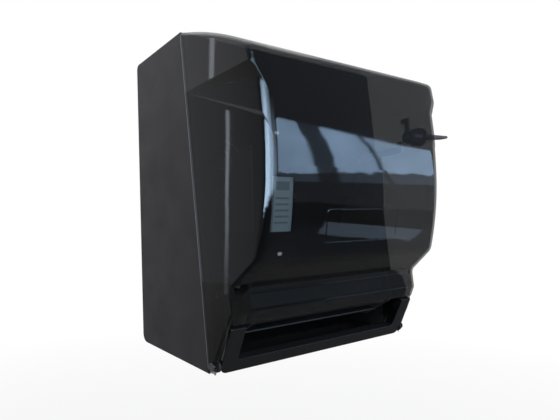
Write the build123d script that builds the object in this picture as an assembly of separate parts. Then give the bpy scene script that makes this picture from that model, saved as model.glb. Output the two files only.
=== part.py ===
"""Lever paper towel dispenser: wall case, hinged see-through cover, push lever and feed unit.

The model is drawn in millimetres with X across, Z up from the case's lower edge and the wall at Y = 0.
The front faces -Y, so a depth is the distance out from the wall. Each piece is moved on export so that
the origin lies on the wall at the centre of the four wall screws.
"""

import os
from math import acos, cos, degrees, hypot, pi, radians, sin, sqrt, tan

from build123d import *

# Case
WIDTH = 315.0
HEIGHT = 375.0
SEAM_TOP_DEPTH = 121.0  # depth of the joint between case and cover at the top
SEAM_FOOT_DEPTH = 165.0  # and at the foot
CASE_WALL = 3.0
CASE_TOP_RADIUS = 7.0
CASE_FOOT_RADIUS = 11.0
CASE_EDGE_RADIUS = 2.0
CASE_FLOOR_DEPTH = 112.0  # the floor ends here, and the paper leaves in front of it
FLOOR_SIDE_DEPTH = 127.0  # and here on both sides of the paper
FLOOR_SIDE_GAP = 2.5  # from the paper's edge
SEAM_GAP = 0.4
TONGUE_GAP = 0.5
TONGUE_WALL = 1.8
TONGUE_REACH = 8.0
TONGUE_ROOT = 5.0
TONGUE_FOOT = 42.0
BACK_RELIEF = 1.0
BACK_MARGIN = 16.0
BOSS_RADIUS = 6.0
BOSS_DEPTH = 8.0  # depth of the boss faces that carry the chassis and the arm brackets

# Cover form: each reach is a depth beyond the seam's foot, and each drop a distance below the top
COVER_WALL = 2.2
SIDE_TAPER = 0.2  # how fast each side closes in with depth
SHOULDER_TAPER = 0.185  # the same above the crease of the flank
HOOD_TAPER = 0.1  # and at the hood's ends
HOOD_SEAM_DROP = 71.0  # the lower edge of the hood's ends, at the seam
HOOD_FRONT_DROP = 81.0  # and at the front
HOOD_LEDGE_RISE = 16.0
SHOULDER_FRONT_DROP = 116.0  # the flank's crease, at the front
SHOULDER_LEDGE_RISE = 4.0
BROW_REACH = 68.0  # corner between top and front
BROW_DROP = 49.0
CROWN_BULGE = 4.0
BELLY_REACH = 79.3  # the furthest point from the wall
BELLY_DROP = 163.0
CHIN_REACH = 66.5
CHIN_HEIGHT = 117.0
WAIST_REACH = 36.2
WAIST_HEIGHT = 89.5
LIP_REACH = 38.5
LIP_HEIGHT = 67.0
LIP_WIDTH = 12.0  # down to the lip's lower edge
TOE_REACH = 8.5  # front of the cover's side walls at the foot
BROW_RADIUS = 11.0
CHIN_RADIUS = 16.0
WAIST_RADIUS = 9.0
LIP_RADIUS = 12.0
FRONT_EDGE_RADIUS = 8.0
HOOD_EDGE_RADIUS = 6.0
OVERRUN = 40.0  # how far the cover's form is drawn past its own edges before it is cut

# Panel outline on the cover's front and label behind it, with drops below the belly
PANEL_WIDTH = 115.0
PANEL_DROP = 42.0
PANEL_HEIGHT = 35.0
PANEL_LINE = 0.8
PANEL_RELIEF = 0.4
PANEL_RADIUS = 4.0
LABEL_EDGE = 27.5  # in from the left side
LABEL_WIDTH = 26.0
LABEL_DROP = 12.0
LABEL_HEIGHT = 52.0
LABEL_THICK = 0.5
LABEL_GLUE = 0.1

# Cover hinge
HINGE_SETBACK = 2.0  # behind the toe
HINGE_HEIGHT = 9.0
HINGE_PIN_RADIUS = 3.0
HINGE_HEAD_RADIUS = 4.5
HINGE_HEAD_THICK = 0.9
HINGE_EAR_RADIUS = 7.4
LUG_RADIUS = 6.5
LUG_GAP = 2.3  # between the lug and the case's inner face
LUG_WALL = 2.7
RUNNING_FIT = 0.05  # radial clearance of a turning pin

# Wall screws
WALL_SCREW_SPACING_X = 180.0
WALL_SCREW_SPACING_Z = 200.0
WALL_SCREW_CENTRE_Z = 205.0
WALL_SLOT_RADIUS = 3.0
WALL_SLOT_LENGTH = 12.0
WALL_PAD_RADIUS = 12.0

# Screws
SCREW_RADIUS = 2.0
SCREW_HEAD_RADIUS = 3.8
SCREW_HEAD_THICK = 2.4
SMALL_SCREW_RADIUS = 1.5
SMALL_HEAD_RADIUS = 3.0
SMALL_HEAD_THICK = 1.8
SCREW_FLOOR = 0.6  # what is left under a screw's tip

# Lever, with places counted from its pivot
LEVER_GAP = 0.6
LEVER_SETBACK = 0.5
LEVER_HEIGHT = 50.0
LEVER_PLATE = 3.5
LEVER_DEPTH = 10.0
LEVER_RIM = 3.0
LEVER_ARM_WIDTH = 19.5
LEVER_BAR_HEIGHT = 14.5
LEVER_CORNER = 9.0
LEVER_INNER_CORNER = 3.0
PIVOT_SETBACK = 9.5  # behind the toe
PIVOT_HEIGHT = 80.0
PIVOT_PIN_RADIUS = 4.0
PIVOT_BOSS_RADIUS = 8.0
PIVOT_FLANGE_RADIUS = 15.0
PIVOT_FLANGE = 4.0
PIVOT_HEAD_RADIUS = 6.0
PIVOT_HEAD_THICK = 1.6
END_PLAY = 0.3
CHEEK_INSET = 2.9  # from the lever's outer face
CHEEK_WALL = 3.0
CHEEK_OUTLINE = ((-7, -66), (5, -72), (23, -30), (27, -16), (22, -1), (8, 8), (-9, 4))
APRON_RISE = 4.0  # above the lever's foot
APRON_WALL = 2.0
APRON_SWEEP = 27.0  # back towards the wall from below the pivot, in degrees
APRON_OVERLAP = 7.5  # forward into the lever's bar, in degrees

# Chassis
PLATE_INNER = 112.0
PLATE_WALL = 3.0
PLATE_OUTLINE = ((-52, -54), (-14, -52), (23.5, -29), (26, -14), (18, 12), (6, 18))  # from the lever's pivot
FLANGE_REACH = 17.0
FLANGE_WALL = 2.0
CHASSIS_SCREW_OUT = 9.0  # from the plate to its screws
CHASSIS_SCREW_RISES = (-38.0, 6.0)  # from the lever's pivot

# Drive
MODULE = 1.5
PINION_TEETH = 14
SECTOR_TEETH = 68  # of a full wheel
SECTOR_TEETH_CUT = 8
SECTOR_FIRST_TOOTH = -1.5  # tooth pitches before the mesh line
MESH_ANGLE = 12.0  # how far the drive shaft lies below the lever pivot, seen from the pivot
PRESSURE_ANGLE = 20.0
BACKLASH = 0.3
GEAR_GAP = 3.0  # between the right chassis plate and the gears
GEAR_WIDTH = 5.0
SECTOR_SLOT = (28.0, 38.0)  # inner and outer radius of the lightening slot
SECTOR_SCREW_RING = 11.0
SECTOR_SCREWS = 3
SHAFT_RADIUS = 4.0
SHAFT_END = 1.0  # shaft past its clip
CLUTCH_RADIUS = 6.2
CORE_RADIUS = 15.0
DRIVE_RADIUS = 19.0
ROLLER_HALF_LENGTH = 104.0
SLEEVE_LENGTH = 38.0
SLEEVE_COUNT = 4
BUSH_RADIUS = 6.0
BUSH_FLANGE_RADIUS = 8.5
BUSH_FLANGE = 1.5
CLIP_RADIUS = 6.5
CLIP_THICK = 1.0
CLIP_GROOVE = 0.8
WHEEL_RADIUS = 20.0
WHEEL_GAP = 4.0  # between the left chassis plate and the wheel
WHEEL_WIDTH = 10.0
WHEEL_DISH = 3.0
WHEEL_GRIPS = 20
WHEEL_GRIP_RADIUS = 1.5

# Pinch roller
PINCH_ANGLE = 195.0  # direction of the pinch shaft, seen from the drive shaft
PINCH_RADIUS = 11.0
PINCH_SHAFT_RADIUS = 3.0
NIP_GAP = 0.3
PINCH_ROLLER_LENGTH = 34.0
LEAF_WALL = 0.9
LEAF_WIDTH = 3.0
LEAF_PEG = (-16.0, 26.0)  # from the pinch shaft
LEAF_PEG_RADIUS = 2.2

# Paper guides and tear bar, with paths and bosses counted from the lever's pivot
GUIDE_WALL = 2.4
GUIDE_END_GAP = 0.3
GUIDE_BOSS_RADIUS = 4.5
GUIDE_BOSS_LENGTH = 9.0
NOSE_OUTLINE = ((-38, -25), (12, -32.5), (18.5, -27), (21.5, -14), (14, 8), (-14, 15), (-36, 16.5))
NOSE_FIXINGS = ((14, -24), (-14, 11))
CHUTE_GAP = 4.0
CHUTE_START = 235.0
CHUTE_END = 265.0
CHUTE_STEP = 10.0
CHUTE_END_PLACE = (2, -43)
CHUTE_FIXINGS = ((-56, -42), (-16, -45.4))
BLADE_WALL = 1.0
BLADE_HALF_LENGTH = 108.0
BLADE_DROP = 4.0  # teeth below the nose's corner
BLADE_TEETH = 54
BLADE_TOOTH = 2.5
BLADE_SCREWS = (-90.0, 0.0, 90.0)

# Lever spring, on the left
SPRING_SETBACK = 23.0  # behind the pivot
SPRING_FOOT_DROP = 44.0  # below the pivot
SPRING_HEAD_DROP = 5.0
SPRING_GAP = 4.3  # from the left chassis plate to the spring's axis
SPRING_PEG_RADIUS = 2.0
SPRING_RADIUS = 3.2
SPRING_WIRE = 0.6
SPRING_PITCH = 1.1
HORN_RADIUS = 4.0

# Roll arms
ROLL_DEPTH = 128.0
ROLL_HEIGHT = 222.0
ROLL_HALF_WIDTH = 101.5
ROLL_END_GAP = 0.8
ARM_PIVOT_X = 112.0
ARM_PIVOT_DEPTH = 17.0
ARM_PIN_RADIUS = 2.5
ARM_PIN_HEAD = 1.5
ARM_KNUCKLE_RADIUS = 5.5
ARM_INNER = 106.8
ARM_WALL = 3.5
ARM_HALF_HEIGHT = 19.5
ARM_NECK = 13.0
ARM_SHOULDER_DEPTH = 48.0
ARM_TIP_RADIUS = 20.0
FENCE_WALL = 2.0
FENCE_OUTLINE = ((-17, -74), (57, -75), (57, 18), (38, 18), (-4, -37))  # from the roll's centre
EAR_WALL = 4.0
EAR_GAP = 0.4
EAR_RADIUS = 7.0
BRACKET_WALL = 2.5
BRACKET_EDGE = 8.0  # from the arm's pivot to the bracket's inner end
BRACKET_SCREW_OUT = 13.0  # and to its screws
BRACKET_WIDTH = 26.0
BRACKET_SCREW_RISE = 17.0
HUB_FLANGE_RADIUS = 30.0
HUB_FLANGE = 3.0
HUB_SPIGOT_RADIUS = 17.5
HUB_SPIGOT_TIP_RADIUS = 14.5
HUB_SPIGOT_LENGTH = 16.0
HUB_BOSS_RADIUS = 9.0
HUB_GAP = 0.3
HUB_RIBS = 4
RIVET_RADIUS = 3.0
RIVET_HEAD_RADIUS = 5.0
RIVET_HEAD_THICK = 1.8

# Lock on the right side of the cover
LOCK_REACH = 52.0
LOCK_DROP = 112.0
LOCK_RADIUS = 9.0
LOCK_FLANGE_RADIUS = 11.5
LOCK_FLANGE = 2.2
LOCK_SEAT_RADIUS = 14.0  # of the flat seat in the cover's side
LOCK_DEPTH = 17.0
LOCK_NUT_RADIUS = 12.5
LOCK_NUT_THICK = 4.0
PLUG_RADIUS = 6.0
PLUG_PROUD = 0.8
CAM_GAP = 0.6
CAM_WALL = 2.4
CAM_REACH = 24.0
CAM_HOOK = 9.0
CAM_WIDTH = 6.0
CAM_HUB_RADIUS = 8.0
KEY_LENGTH = 46.0
KEY_GAP = 0.2
KEY_ROOT_THICK = 6.0
KEY_TIP_THICK = 2.0
KEY_WIDTH = 13.0
KEY_RING_RADIUS = 2.2
KEY_BLADE_WIDTH = 7.0
KEY_BLADE_THICK = 2.0
KEY_BLADE_DEPTH = 12.0
KEEPER_WIDTH = 9.0
KEEPER_DROP = 10.5  # from the lock down to the keeper's upper edge
KEEPER_TOOTH = 6.0
KEEPER_ROOT_DEPTH = 62.0
KEEPER_BEND_DEPTH = 106.0
KEEPER_TURN = 31.0  # from the lock back to the second bend
KEEPER_TIP = 14.0  # and to the tip
KEEPER_SCREW_DEPTHS = (70.0, 96.0)

# Worked out from the sizes above
SIDE = Plane(origin=(0, 0, 0), x_dir=(0, -1, 0), z_dir=(-1, 0, 0))
HANDS = (-1, 1)
HALF = WIDTH / 2
LEAN = (SEAM_FOOT_DEPTH - SEAM_TOP_DEPTH) / HEIGHT
BROW = (SEAM_FOOT_DEPTH + BROW_REACH, HEIGHT - BROW_DROP)
BELLY = (SEAM_FOOT_DEPTH + BELLY_REACH, HEIGHT - BELLY_DROP)
CHIN = (SEAM_FOOT_DEPTH + CHIN_REACH, CHIN_HEIGHT)
WAIST = (SEAM_FOOT_DEPTH + WAIST_REACH, WAIST_HEIGHT)
LIP = (SEAM_FOOT_DEPTH + LIP_REACH, LIP_HEIGHT)
LIP_FOOT = LIP_HEIGHT - LIP_WIDTH
TOE_DEPTH = SEAM_FOOT_DEPTH + TOE_REACH
HINGE = (TOE_DEPTH - HINGE_SETBACK, HINGE_HEIGHT)
LUG_OUTER = HALF - CASE_WALL - LUG_GAP
LUG_INNER = LUG_OUTER - LUG_WALL
LEVER_HALF_WIDTH = LUG_INNER - LEVER_GAP
LEVER_PIVOT = (TOE_DEPTH - PIVOT_SETBACK, PIVOT_HEIGHT)
CHEEK_OUTER = LEVER_HALF_WIDTH - CHEEK_INSET
ROLL_CENTRE = (ROLL_DEPTH, ROLL_HEIGHT)
BRACKET_SCREW_X = ARM_PIVOT_X + BRACKET_SCREW_OUT
LOCK = (SEAM_FOOT_DEPTH + LOCK_REACH, HEIGHT - LOCK_DROP)
KEEPER_HIGH = LOCK[1] - KEEPER_DROP
KEEPER_LOW = KEEPER_HIGH - KEEPER_WIDTH
PLATE_OUTER = PLATE_INNER + PLATE_WALL
CHASSIS_SCREW_X = PLATE_OUTER + CHASSIS_SCREW_OUT
GEAR_INNER = PLATE_OUTER + GEAR_GAP
GEAR_OUTER = GEAR_INNER + GEAR_WIDTH
SPRING_X = PLATE_OUTER + SPRING_GAP
WHEEL_INNER = PLATE_OUTER + WHEEL_GAP
GEAR_DISTANCE = MODULE * (PINION_TEETH + SECTOR_TEETH) / 2
GUIDE_HALF = PLATE_INNER - GUIDE_END_GAP
WHEEL_OUTER = WHEEL_INNER + WHEEL_WIDTH
ARM_OUTER = ARM_INNER + ARM_WALL


def polar(centre, radius, angle):
    """The point at a radius and angle, in degrees, from a centre."""
    return (centre[0] + radius * cos(radians(angle)), centre[1] + radius * sin(radians(angle)))


def from_pivot(*places):
    """Places in the side view that are given as depth and height from the lever's pivot."""
    return [(LEVER_PIVOT[0] + depth, LEVER_PIVOT[1] + height) for depth, height in places]


DRIVE = polar(LEVER_PIVOT, GEAR_DISTANCE, 180.0 + MESH_ANGLE)
PINCH = polar(DRIVE, DRIVE_RADIUS + PINCH_RADIUS + NIP_GAP, PINCH_ANGLE)
NOSE_PATH = from_pivot(*NOSE_OUTLINE)
NOSE_BOSSES = from_pivot(*NOSE_FIXINGS)
CHUTE_BOSSES = from_pivot(*CHUTE_FIXINGS)
SPRING_ENDS = [(-SPRING_SETBACK, -drop) for drop in (SPRING_FOOT_DROP, SPRING_HEAD_DROP)]
SPRING_FOOT, SPRING_HEAD = from_pivot(*SPRING_ENDS)
CHASSIS_SCREW_HEIGHTS = [LEVER_PIVOT[1] + rise for rise in CHASSIS_SCREW_RISES]


def seam_depth(height):
    """Depth of the slanted joint between case and cover at a height."""
    return SEAM_FOOT_DEPTH - LEAN * height


# Drawing helpers


def save(name, *shapes):
    """Write one node, moved so that the origin is the centre of the wall screws."""
    solids = [Pos(0, 0, -WALL_SCREW_CENTRE_Z) * solid for shape in shapes for solid in shape.solids()]
    export_step(solids[0] if len(solids) == 1 else Compound(children=solids), f"parts/{name}.step")


def slab(sketch, x_low, x_high):
    """Carry a side view, drawn as depth and height, across from one width to another."""
    return Pos(x_high, 0, 0) * extrude(SIDE * sketch, amount=x_high - x_low)


def side_band(sketch, inner, outer, hand):
    """The same on one hand, from an inner to an outer distance from the middle."""
    return slab(sketch, *sorted((hand * inner, hand * outer)))


def rod(place, radius, x_low, x_high):
    """A cylinder along X at a (depth, height) place."""
    return slab(Pos(*place) * Circle(radius), x_low, x_high)


def hand_rod(place, radius, inner, outer, hand):
    """A cylinder along X on one hand, from an inner to an outer distance from the middle."""
    return side_band(Pos(*place) * Circle(radius), inner, outer, hand)


def ring(place, radius, bore, inner, outer, hand):
    """A tube along X on one hand."""
    return side_band(Pos(*place) * (Circle(radius) - Circle(bore)), inner, outer, hand)


def wall_rod(x, height, radius, depth_low, depth_high):
    """A cylinder that stands out from the wall."""
    return Pos(x, -depth_low, height) * extrude(Plane.XZ * Circle(radius), amount=depth_high - depth_low)


def upright(sketch, z_low, z_high):
    """Carry a plan view, drawn as X and -depth, up from one height to another."""
    return Pos(0, 0, z_low) * extrude(sketch, amount=z_high - z_low)


def block(x_pair, depth_pair, z_pair):
    """A box between two widths, depths and heights, each given in either order."""
    x_low, x_high = sorted(x_pair)
    depth_low, depth_high = sorted(depth_pair)
    z_low, z_high = sorted(z_pair)
    centre = ((x_low + x_high) / 2, -(depth_low + depth_high) / 2, (z_low + z_high) / 2)
    return Pos(*centre) * Box(x_high - x_low, depth_high - depth_low, z_high - z_low)


def outline(*points):
    """A closed face with straight sides."""
    return make_face(Polyline(*points, close=True))


def rounded(sketch, place, radius):
    """Round the corner of a face that lies nearest to a place."""
    corner = sketch.vertices().sort_by(lambda v: hypot(v.X - place[0], v.Y - place[1]))[0]
    return fillet(corner, radius)


def strip(points, wall):
    """A strip of even thickness along a bent path, with round ends."""
    path = Sketch()
    for start, end in zip(points, points[1:]):
        run = Vector(*end) - Vector(*start)
        middle = (Vector(*start) + Vector(*end)) / 2
        angle = run.get_signed_angle(Vector(1, 0, 0), Vector(0, 0, -1))
        path += Pos(middle.X, middle.Y) * Rot(Z=angle) * SlotCenterToCenter(run.length, wall)
    return path


def screw(place_plane, radius, head_radius, head_thick, length):
    """A pan-head screw whose head rests on a plane and whose shank runs into it."""
    head = extrude(place_plane * Circle(head_radius), amount=head_thick)
    shank = extrude(place_plane * Circle(radius), amount=-length)
    socket = RegularPolygon(head_radius / 2, 6)
    recess = extrude(place_plane.offset(head_thick / 2) * socket, amount=head_thick)
    return head + shank - recess


# Case and cover form


def side_plane(hand, inset, taper):
    """The slanting outer plane of one side, moved in by a thickness. It turns about the seam line."""
    plane = Plane(origin=(hand * HALF, -SEAM_FOOT_DEPTH, 0), z_dir=(hand, -taper, taper * LEAN))
    return plane.offset(-inset)


def between_sides(inset, taper):
    """All the space between the two slanting side planes."""
    space = Box(2 * WIDTH, 4 * WIDTH, 4 * HEIGHT)
    for hand in HANDS:
        space = split(space, bisect_by=side_plane(hand, inset, taper), keep=Keep.BOTTOM)
    return space


def seam_plane(ahead=0.0):
    """The slanted plane of the seam, facing forward, moved ahead by a distance."""
    return Plane(origin=(0, -SEAM_FOOT_DEPTH, 0), x_dir=(1, 0, 0), z_dir=(0, -1, LEAN)).offset(ahead)


def cover_face(inset):
    """Side view of the cover's outer form, drawn past the seam and the foot, moved in by a thickness."""
    toe_slope = (LIP[0] - TOE_DEPTH) / LIP[1]
    toe = (TOE_DEPTH - toe_slope * OVERRUN, -OVERRUN)
    heel = (toe[0] - OVERRUN, -OVERRUN)
    crown = SagittaArc((SEAM_TOP_DEPTH, HEIGHT), BROW, CROWN_BULGE)
    behind = crown.position_at(0) - crown.tangent_at(0) * OVERRUN
    edges = [
        Line(behind, crown.position_at(0)),
        crown,
        TangentArc(BELLY, BROW, tangent=(0, 1)),
        TangentArc(BELLY, CHIN, tangent=(0, -1)),
        Line(CHIN, WAIST),
        Line(WAIST, LIP),
        Line(LIP, toe),
        Line(toe, heel),
        Line(heel, behind),
    ]
    face = make_face(edges)
    bends = {BROW: BROW_RADIUS, CHIN: CHIN_RADIUS, WAIST: WAIST_RADIUS, LIP: LIP_RADIUS}
    for place, radius in bends.items():
        face = rounded(face, place, radius)
    return redrawn(offset(face, amount=-inset)) if inset else face


def redrawn(face):
    """The same face with every curved edge drawn again as a plain arc."""
    edges = []
    for edge in face.edges():
        start, middle, end = (edge.position_at(part) for part in (0, 0.5, 1))
        straight = edge.geom_type == GeomType.LINE
        edges.append(Line(start, end) if straight else ThreePointArc(start, middle, end))
    return make_face(edges)


def ledge_plane(hand, front_drop, rise, low_taper, high_taper):
    """The sloping ledge on one flank, from the seam to the front, between two tapers. It faces up."""
    seam_height, front_height = HEIGHT - HOOD_SEAM_DROP, HEIGHT - front_drop
    front_depth = BROW[0]
    ahead = front_depth - seam_depth(front_height)
    at_seam = Vector(HALF, -seam_depth(seam_height), seam_height)
    at_low = Vector(HALF - low_taper * ahead, -front_depth, front_height)
    at_high = Vector(HALF - high_taper * ahead, -front_depth, front_height + rise)
    up = (at_high - at_low).cross(at_seam - at_low)
    up = up if up.Z > 0 else -up
    return Plane(origin=(hand * at_seam.X, at_seam.Y, at_seam.Z), z_dir=(hand * up.X, up.Y, up.Z))


def front_edges(solid, taper, wall):
    """The long edges where the front of a form meets its sides."""
    found = []
    for edge in solid.edges():
        middle = edge.position_at(0.5)
        ahead = -middle.Y - seam_depth(middle.Z)
        side = HALF - taper * ahead
        lengthways = abs(edge.tangent_at(0.5).X) < 0.5
        if lengthways and ahead > TONGUE_REACH and abs(middle.X) > side - wall - CASE_WALL:
            found.append(edge)
    return found


def edged_form(inset, taper, radius):
    """The cover's form at one taper of its sides, with its front edges rounded."""
    form = slab(cover_face(inset), -WIDTH, WIDTH) & between_sides(inset, taper)
    return fillet(front_edges(form, taper, inset), radius - inset)


def cover_form(inset):
    """The closed form that the cover wraps, drawn past the seam, with its skin moved in by a thickness."""
    form = edged_form(inset, SIDE_TAPER, FRONT_EDGE_RADIUS)
    shoulder = (SHOULDER_FRONT_DROP, SHOULDER_LEDGE_RISE, SIDE_TAPER, SHOULDER_TAPER)
    hood = (HOOD_FRONT_DROP, HOOD_LEDGE_RISE, SHOULDER_TAPER, HOOD_TAPER)
    for ledge, radius in ((shoulder, FRONT_EDGE_RADIUS), (hood, HOOD_EDGE_RADIUS)):
        above = Box(4 * WIDTH, 4 * WIDTH, 4 * HEIGHT)
        for hand in HANDS:
            above = split(above, bisect_by=ledge_plane(hand, *ledge).offset(inset), keep=Keep.TOP)
        form = (form - above) + (edged_form(inset, ledge[-1], radius) & above)
    return form


def make_cover(outer, inner):
    """The see-through front shell, open at the seam and around the lever."""
    shell = outer - inner
    shell = split(shell, bisect_by=seam_plane(SEAM_GAP / 2), keep=Keep.TOP)
    shell = split(shell, bisect_by=Plane.XY, keep=Keep.TOP)
    window_half = LEVER_HALF_WIDTH + LEVER_GAP
    shell -= block((-window_half, window_half), (0, WIDTH), (-1, LIP_FOOT))
    lug_half, lug_top = LUG_OUTER + LEVER_GAP, HINGE[1] + HINGE_EAR_RADIUS
    shell -= block((-lug_half, lug_half), (0, WIDTH), (-1, lug_top))
    corner = outline((0, -1), (HINGE[0], -1), (HINGE[0], HINGE[1]), (0, HINGE[1]))
    shell -= slab(corner - Pos(*HINGE) * Circle(HINGE_EAR_RADIUS), -WIDTH, WIDTH)
    panel_middle = BELLY[1] - PANEL_DROP - PANEL_HEIGHT / 2
    frame = RectangleRounded(PANEL_WIDTH, PANEL_HEIGHT, PANEL_RADIUS)
    inside = (PANEL_WIDTH - 2 * PANEL_LINE, PANEL_HEIGHT - 2 * PANEL_LINE, PANEL_RADIUS - PANEL_LINE)
    frame -= RectangleRounded(*inside)
    frame = extrude(Pos(0, 0, panel_middle) * (Plane.XZ * frame), amount=WIDTH)
    shell -= frame - slab(cover_face(PANEL_RELIEF), -HALF, HALF)
    for hand in HANDS:
        shell -= hand_rod(HINGE, HINGE_PIN_RADIUS + RUNNING_FIT, LEVER_HALF_WIDTH, WIDTH, hand)
    shell += lock_disc(LOCK_SEAT_RADIUS, -COVER_WALL, 0)
    shell -= lock_disc(LOCK_FLANGE_RADIUS + SEAM_GAP, 0, LOCK_DEPTH)
    return shell - lock_disc(LOCK_RADIUS, -LOCK_DEPTH, LOCK_DEPTH)


def make_label():
    """The loading label on the inside of the cover's front."""
    left, top = LABEL_EDGE - HALF, BELLY[1] - LABEL_DROP
    patch = block((left, left + LABEL_WIDTH), (SEAM_FOOT_DEPTH, WIDTH), (top - LABEL_HEIGHT, top))
    front = COVER_WALL + LABEL_GLUE
    sheet = slab(cover_face(front) - cover_face(front + LABEL_THICK), -WIDTH, WIDTH)
    return patch & sheet


def make_case():
    """The wall case: back, sides, top and floor, with bosses, hinge lugs and the tongue behind the seam."""
    face = outline((0, 0), (SEAM_FOOT_DEPTH, 0), (SEAM_TOP_DEPTH, HEIGHT), (0, HEIGHT))
    hollow = outline((0, 0), (WIDTH, 0), (WIDTH, HEIGHT), (0, HEIGHT))
    for place, radius in (((0, HEIGHT), CASE_TOP_RADIUS), ((0, 0), CASE_FOOT_RADIUS)):
        face = rounded(face, place, radius)
        hollow = rounded(hollow, place, radius)
    case = slab(face, -HALF, HALF)
    rims = [e for e in case.edges() if abs(abs(e.position_at(0.5).X) - HALF) < SEAM_GAP]
    rims = [e for e in rims if seam_depth(e.position_at(0.5).Z) + e.position_at(0.5).Y > SEAM_GAP]
    case = fillet(rims, CASE_EDGE_RADIUS)
    case = split(case, bisect_by=seam_plane(-SEAM_GAP / 2), keep=Keep.BOTTOM)
    inner_half = HALF - CASE_WALL
    case -= slab(offset(hollow, amount=-CASE_WALL), -inner_half, inner_half)
    gate_half = ROLL_HALF_WIDTH + FLOOR_SIDE_GAP
    for half, ahead in ((inner_half, FLOOR_SIDE_DEPTH), (gate_half, CASE_FLOOR_DEPTH)):
        case -= block((-half, half), (ahead, WIDTH), (-1, CASE_WALL + 1))

    across, up = (-HALF + BACK_MARGIN, HALF - BACK_MARGIN), (BACK_MARGIN, HEIGHT - BACK_MARGIN)
    relief = block(across, (-1, BACK_RELIEF), up)
    slots = []
    for x in (-WALL_SCREW_SPACING_X / 2, WALL_SCREW_SPACING_X / 2):
        for rise in (-WALL_SCREW_SPACING_Z / 2, WALL_SCREW_SPACING_Z / 2):
            height = WALL_SCREW_CENTRE_Z + rise
            relief -= wall_rod(x, height, WALL_PAD_RADIUS, -1, CASE_WALL)
            slot = Plane.XZ * SlotOverall(WALL_SLOT_LENGTH, 2 * WALL_SLOT_RADIUS)
            slots.append(Pos(x, 1, height) * extrude(slot, amount=CASE_WALL + 2))
    case -= relief

    bosses = [(CHASSIS_SCREW_X, height) for height in CHASSIS_SCREW_HEIGHTS]
    for rise in (-BRACKET_SCREW_RISE, BRACKET_SCREW_RISE):
        bosses.append((BRACKET_SCREW_X, ROLL_CENTRE[1] + rise))
    for hand in HANDS:
        for x, height in bosses:
            case += wall_rod(hand * x, height, BOSS_RADIUS, CASE_WALL / 2, BOSS_DEPTH)
            case -= wall_rod(hand * x, height, SCREW_RADIUS, CASE_WALL + SCREW_FLOOR, BOSS_DEPTH)
        case += make_lug(hand)
        for place in keeper_screw_places() if hand > 0 else ():
            case -= hand_rod(place, SMALL_SCREW_RADIUS, inner_half - CASE_WALL, HALF - SCREW_FLOOR, hand)
    for slot in slots:
        case -= slot
    return case + make_tongue()


def make_tongue():
    """The thin rim that stands forward of the seam inside the cover's edge."""
    inset = COVER_WALL + TONGUE_GAP
    rim = cover_form(inset) - cover_form(inset + TONGUE_WALL)
    rim = split(rim, bisect_by=seam_plane(-TONGUE_ROOT), keep=Keep.TOP)
    rim = split(rim, bisect_by=seam_plane(TONGUE_REACH), keep=Keep.BOTTOM)
    return split(rim, bisect_by=Plane.XY.offset(TONGUE_FOOT), keep=Keep.TOP)


def make_lug(hand):
    """The case's hinge lug, which stands forward inside the cover's side wall."""
    foot = HINGE[1] - LUG_RADIUS
    root_depth = HINGE[0] - 4 * LUG_RADIUS
    root = (root_depth, HINGE[1] + 2 * LUG_RADIUS)
    face = outline((root_depth, foot), (HINGE[0], foot), (HINGE[0], HINGE[1] + LUG_RADIUS), root)
    lug = side_band(face + Pos(*HINGE) * Circle(LUG_RADIUS), LUG_INNER, LUG_OUTER, hand)
    front_foot, front_head = (HINGE[0] - 2 * LUG_RADIUS, foot), (root_depth + LUG_RADIUS, root[1])
    back = outline((root_depth, foot), front_foot, front_head, root)
    lug += side_band(back, LUG_INNER, HALF - CASE_WALL / 2, hand)
    return lug - hand_rod(HINGE, HINGE_PIN_RADIUS, LEVER_HALF_WIDTH, HALF, hand)


def make_hinge_pin(hand):
    """A hinge pin, fast in the case's lug, with a low head outside the cover."""
    ahead = HINGE[0] - HINGE_HEAD_RADIUS - seam_depth(HINGE[1])
    outer = HALF - SIDE_TAPER * ahead + RUNNING_FIT
    pin = hand_rod(HINGE, HINGE_PIN_RADIUS, LUG_INNER, outer, hand)
    return pin + hand_rod(HINGE, HINGE_HEAD_RADIUS, outer, outer + HINGE_HEAD_THICK, hand)


# Lever


def lever_plane(depth=0.0):
    """The slanted front face of the lever, in line with the lip, facing forward."""
    run = hypot(LIP[0] - TOE_DEPTH, LIP[1])
    normal = (0, -LIP[1] / run, -(LIP[0] - TOE_DEPTH) / run)
    return Plane(origin=(0, -TOE_DEPTH, 0), x_dir=(1, 0, 0), z_dir=normal).offset(-LEVER_SETBACK - depth)


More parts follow.
